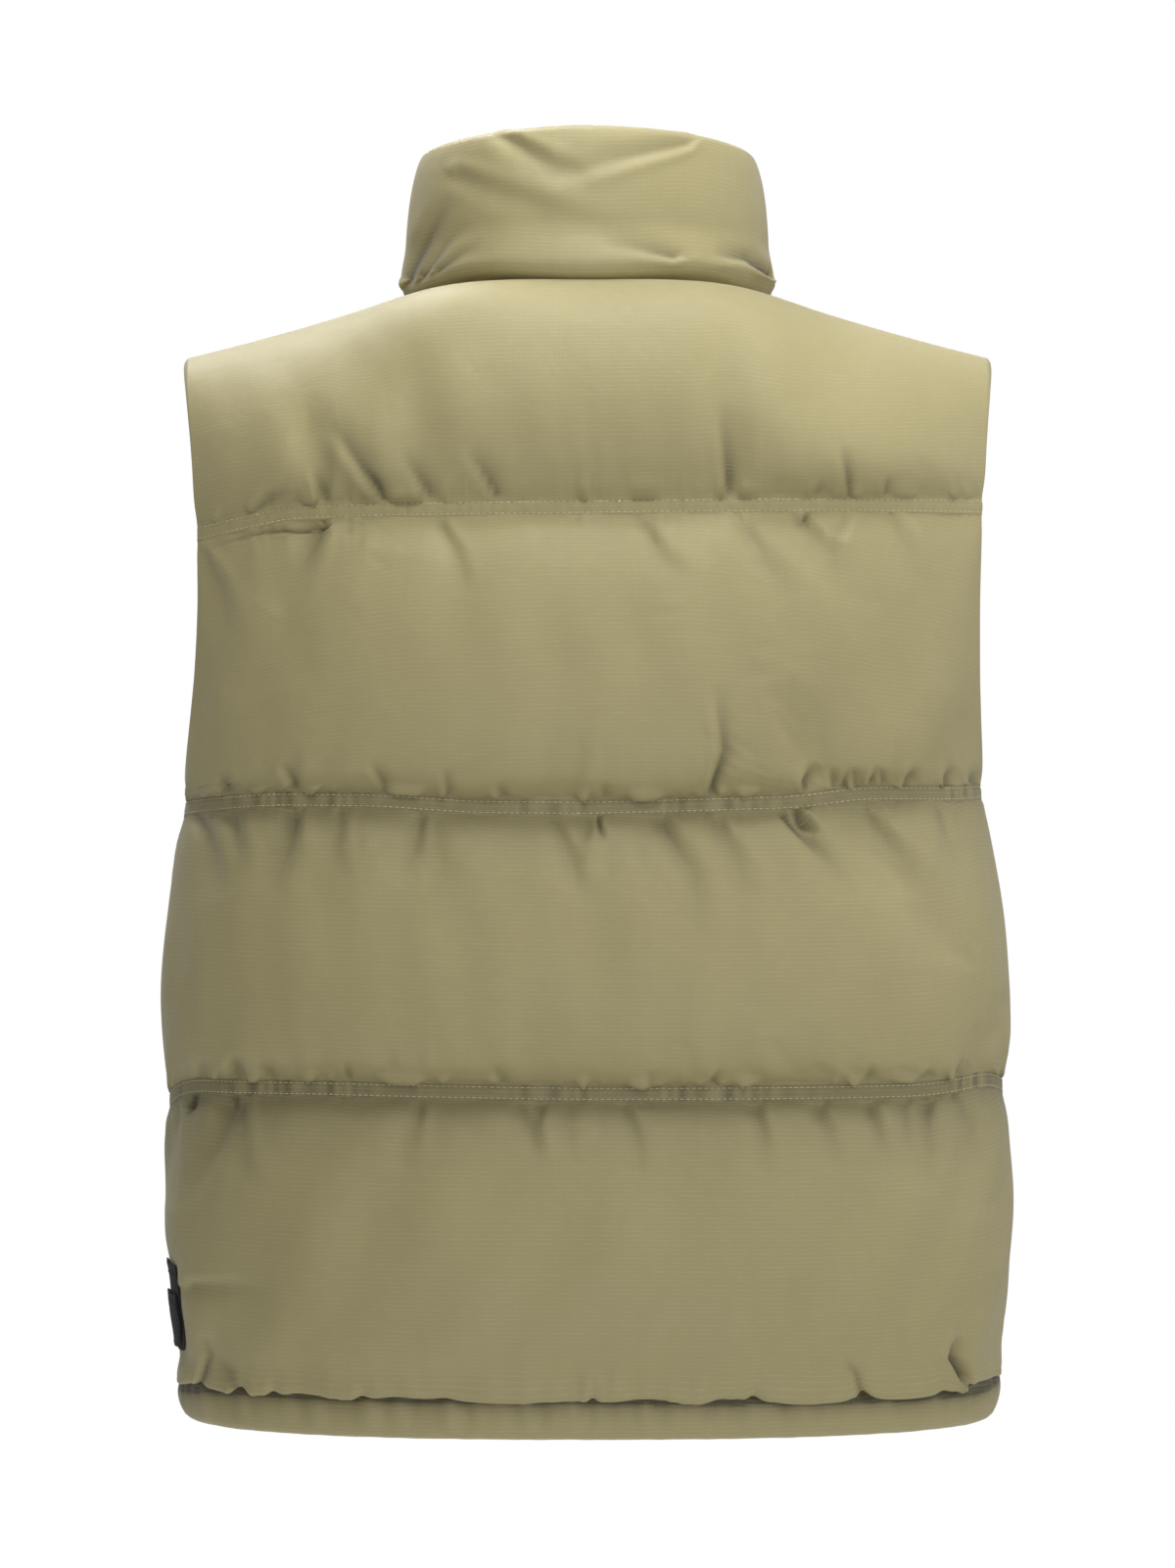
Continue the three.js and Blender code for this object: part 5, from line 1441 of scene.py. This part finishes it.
ZIP_LINE = zip_line()
ZIP_LENGTH = float(arc_length(ZIP_LINE, 0)[-1])
TAPE_DEPTH = (1.55, 2.35)
TAPE_SPAN = (0.7, ZIP_HALF + 0.4)  # from between the teeth to just inside the front's edge
for label, sign in (("left", 1), ("right", -1)):
    places = np.linspace(0.5, ZIP_LENGTH - 0.5, 361)
    at, _, front = along_line(ZIP_LINE, places)
    widths = np.linspace(*TAPE_SPAN, 9)
    edge = 0.18 * np.cos(np.linspace(0, np.pi, 9)) ** 4
    faces = []
    for depth, bulge in ((TAPE_DEPTH[1], 1), (TAPE_DEPTH[0], -1)):
        rows = at[:, None] + front[:, None] * (depth + bulge * edge[None, :, None] * 0.3)
        faces.append(rows + np.array([sign, 0, 0]) * widths[None, :, None])
    plan = np.stack(np.meshgrid(widths, places), axis=-1)
    tape = wall_piece(f"zip_tape_{label}_cloth", faces[0], faces[1][::2, ::2], plan, (0, 0, 0.5, 0.5), TAPE)
    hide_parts(f"zip_tape_{label}")
print(f"zip line {ZIP_LENGTH:.0f} mm")

# %% Teeth
TOOTH_PITCH = 2.6
# a tooth's outline across the zip and up it, then the depth and size of its layers
TOOTH_OUTLINE = ((2.9, -1.0), (1.1, -0.62), (-0.9, -0.95), (-0.9, 0.95), (1.1, 0.62), (2.9, 1.0))
TOOTH_LAYERS = ((0.95, 0.8), (0.95 + 0.3, 1.0), (3.05 - 0.35, 1.0), (3.05, 0.72))
TOOTH_HEIGHT = 0.62
SLIDER_TOP = 41.5


def teeth():
    """Blocks of four rings: an outline across the zip, wide at its base, narrow at its neck and wide
    at its head, drawn from the back to the front, for each tooth in turn."""
    shape = np.array([(x * size if x > 0 else x, depth, z * TOOTH_HEIGHT * size)
                      for depth, size in TOOTH_LAYERS for x, z in TOOTH_OUTLINE])
    quads = ring_quads(len(TOOTH_OUTLINE), len(TOOTH_LAYERS))
    quads = np.array(quads + [[3, 2, 1, 0], [5, 4, 3, 0], [18, 19, 20, 21], [18, 21, 22, 23]])
    top = np.interp(SLIDER_TOP, ZIP_LINE[:, 2], arc_length(ZIP_LINE, 0))
    places = np.arange(3, top, TOOTH_PITCH / 2)
    at, up, front = along_line(ZIP_LINE, places)
    sign = np.where(np.arange(len(places)) % 2, 1.0, -1.0)
    points, faces = copies(shape, quads, at, np.stack([sign, 0 * sign, 0 * sign], axis=-1), front, up)
    faces[sign < 0] = faces[sign < 0][:, :, ::-1]
    faces = faces.reshape(-1, 4)
    if signed_volume(points - points[0], faces[:len(quads)]) < 0:
        faces = faces[:, ::-1]
    obj = new_piece("zip_teeth_row", points, faces, points[:, [0, 2]], TEETH)
    obj.data.polygons.foreach_set("use_smooth", np.zeros(len(obj.data.polygons), bool))
    return obj, len(places)


teeth_row, tooth_count = teeth()
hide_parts("zip_teeth")
for name in ("zip_slider", "zip_pull"):
    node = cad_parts[name]
    node.data.materials.clear()
    node.data.materials.append(METAL)
print(tooth_count, "teeth")

# %% [markdown]
# ## Side tab
# A plain black tab of felted cloth is sewn over the wearer's left side seam, low down: a longer back
# layer and a shorter, rounder front layer on it. Both follow the padded baffle under them. From
# behind they are seen edge on.

# %% Tab layers
TAB = {"back": 57, "front": 12, "low": -594, "corner": 16, "roundness": 0.98, "bridge": 20,
       "crowding": 1.6}
# name, height of the top, inset, lift off the baffle, thickness
TAB_LAYERS = (("side_tab", -546, 0, 0.4, 1.4), ("side_tab_face", -563, 2, 2.3, 1.6))


def last_baffle_face(distance, z):
    """The last baffle's first outer face by distance round from the left side seam, whose groove is
    bridged, and the way out."""
    point = np.zeros((*distance.shape, 3))
    out = np.zeros_like(point)
    for side in (BACK, FRONT):
        length = body_point(side, np.ones_like(z), z)[2]
        s = 1 - np.abs(distance) / length
        low, high = seam_height(3, side, s) + SEAM_GAP, seam_height(2, side, s)
        base, way, _ = body_point(side, s, z)
        ease = ease_from_edge(np.maximum(np.abs(distance), TAB["bridge"]), SIDE_EASE)
        rise = CROWN[BACK] * crown_profile((z - low) / (high - low)) * ease
        here = (distance >= 0) == (side > 0)
        face = base + way * (PRESSED + rise - tab_press(distance, z))[..., None]
        point[here] = face[here]
        out[here] = way[here]
    return point, out


def tab_grids(high, inset, lift, thickness, rows=47, columns=55):
    """Two faces of a tab layer: an oblong whose lower corners are round, on the baffle's face."""
    middle, half = (TAB["back"] + TAB["front"]) / 2, (TAB["back"] - TAB["front"]) / 2 - inset
    low = TAB["low"] + inset
    z = mix(low, high, np.linspace(0, 1, rows) ** TAB["crowding"])
    below = np.clip((low + TAB["corner"] - z) / TAB["corner"], 0, 1) * TAB["roundness"]
    half_here = half - TAB["corner"] * (1 - np.sqrt(1 - below**2))
    share = np.linspace(1, -1, columns)
    distance = middle + half_here[:, None] * share[None]
    z = np.repeat(z[:, None], columns, axis=1)
    point, out = last_baffle_face(distance, z)
    wave = 0.35 * np.sin(distance / 7.3 + 1.7 * np.sin(z / 9.1)) * np.sin(z / 8.2 + 0.6)
    return (point + out * (lift + thickness + wave)[..., None], point + out * (lift + wave * 0.4)[..., None],
            np.stack([distance, z], axis=-1), out)


def border(grid):
    """The line of a layer's stitches: up one side, round below and up the other, four points in."""
    return np.concatenate([grid[5:-4, 4], grid[-4, 4:-4], grid[5:-4, -4][::-1]])


for name, high, inset, lift, thickness in TAB_LAYERS:
    outer, inner, plan, out = tab_grids(high, inset, lift, thickness)
    tab = wall_piece(name + "_cloth", outer, inner[::2, ::2], plan, (0.6, 0.6, 0.6, 0.6), BLACK)
    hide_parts(name)
    width, height = float(np.ptp(plan[-1, :, 0])), float(high - TAB["low"] - inset)
    sew(name + "_stitching", [(border(outer) + border(out) * 0.1, border(out))], BLACK_THREAD)

# %% [markdown]
# ## Floor
# A plain pale floor lies well below the hem, 1.3 m under the shoulders, where a wearer would stand.

# %% Floor
FLOOR = {"height": -1.3, "radius": 1.6, "corners": 96}
turn = np.linspace(0, 2 * math.pi, FLOOR["corners"], endpoint=False)
rim = np.stack([FLOOR["radius"] * np.cos(turn), FLOOR["radius"] * np.sin(turn), 0 * turn + FLOOR["height"]],
               axis=-1)
floor_mesh = bpy.data.meshes.new("floor")
floor_mesh.from_pydata(rim, [], [tuple(range(FLOOR["corners"]))])
floor = bpy.data.objects.new("floor", floor_mesh)
scene.collection.objects.link(floor)
floor_material, _, floor_shader = new_material("pale_floor", 0.9)
floor_shader["Base Color"].default_value = (0.8, 0.8, 0.8, 1)
floor_mesh.materials.append(floor_material)
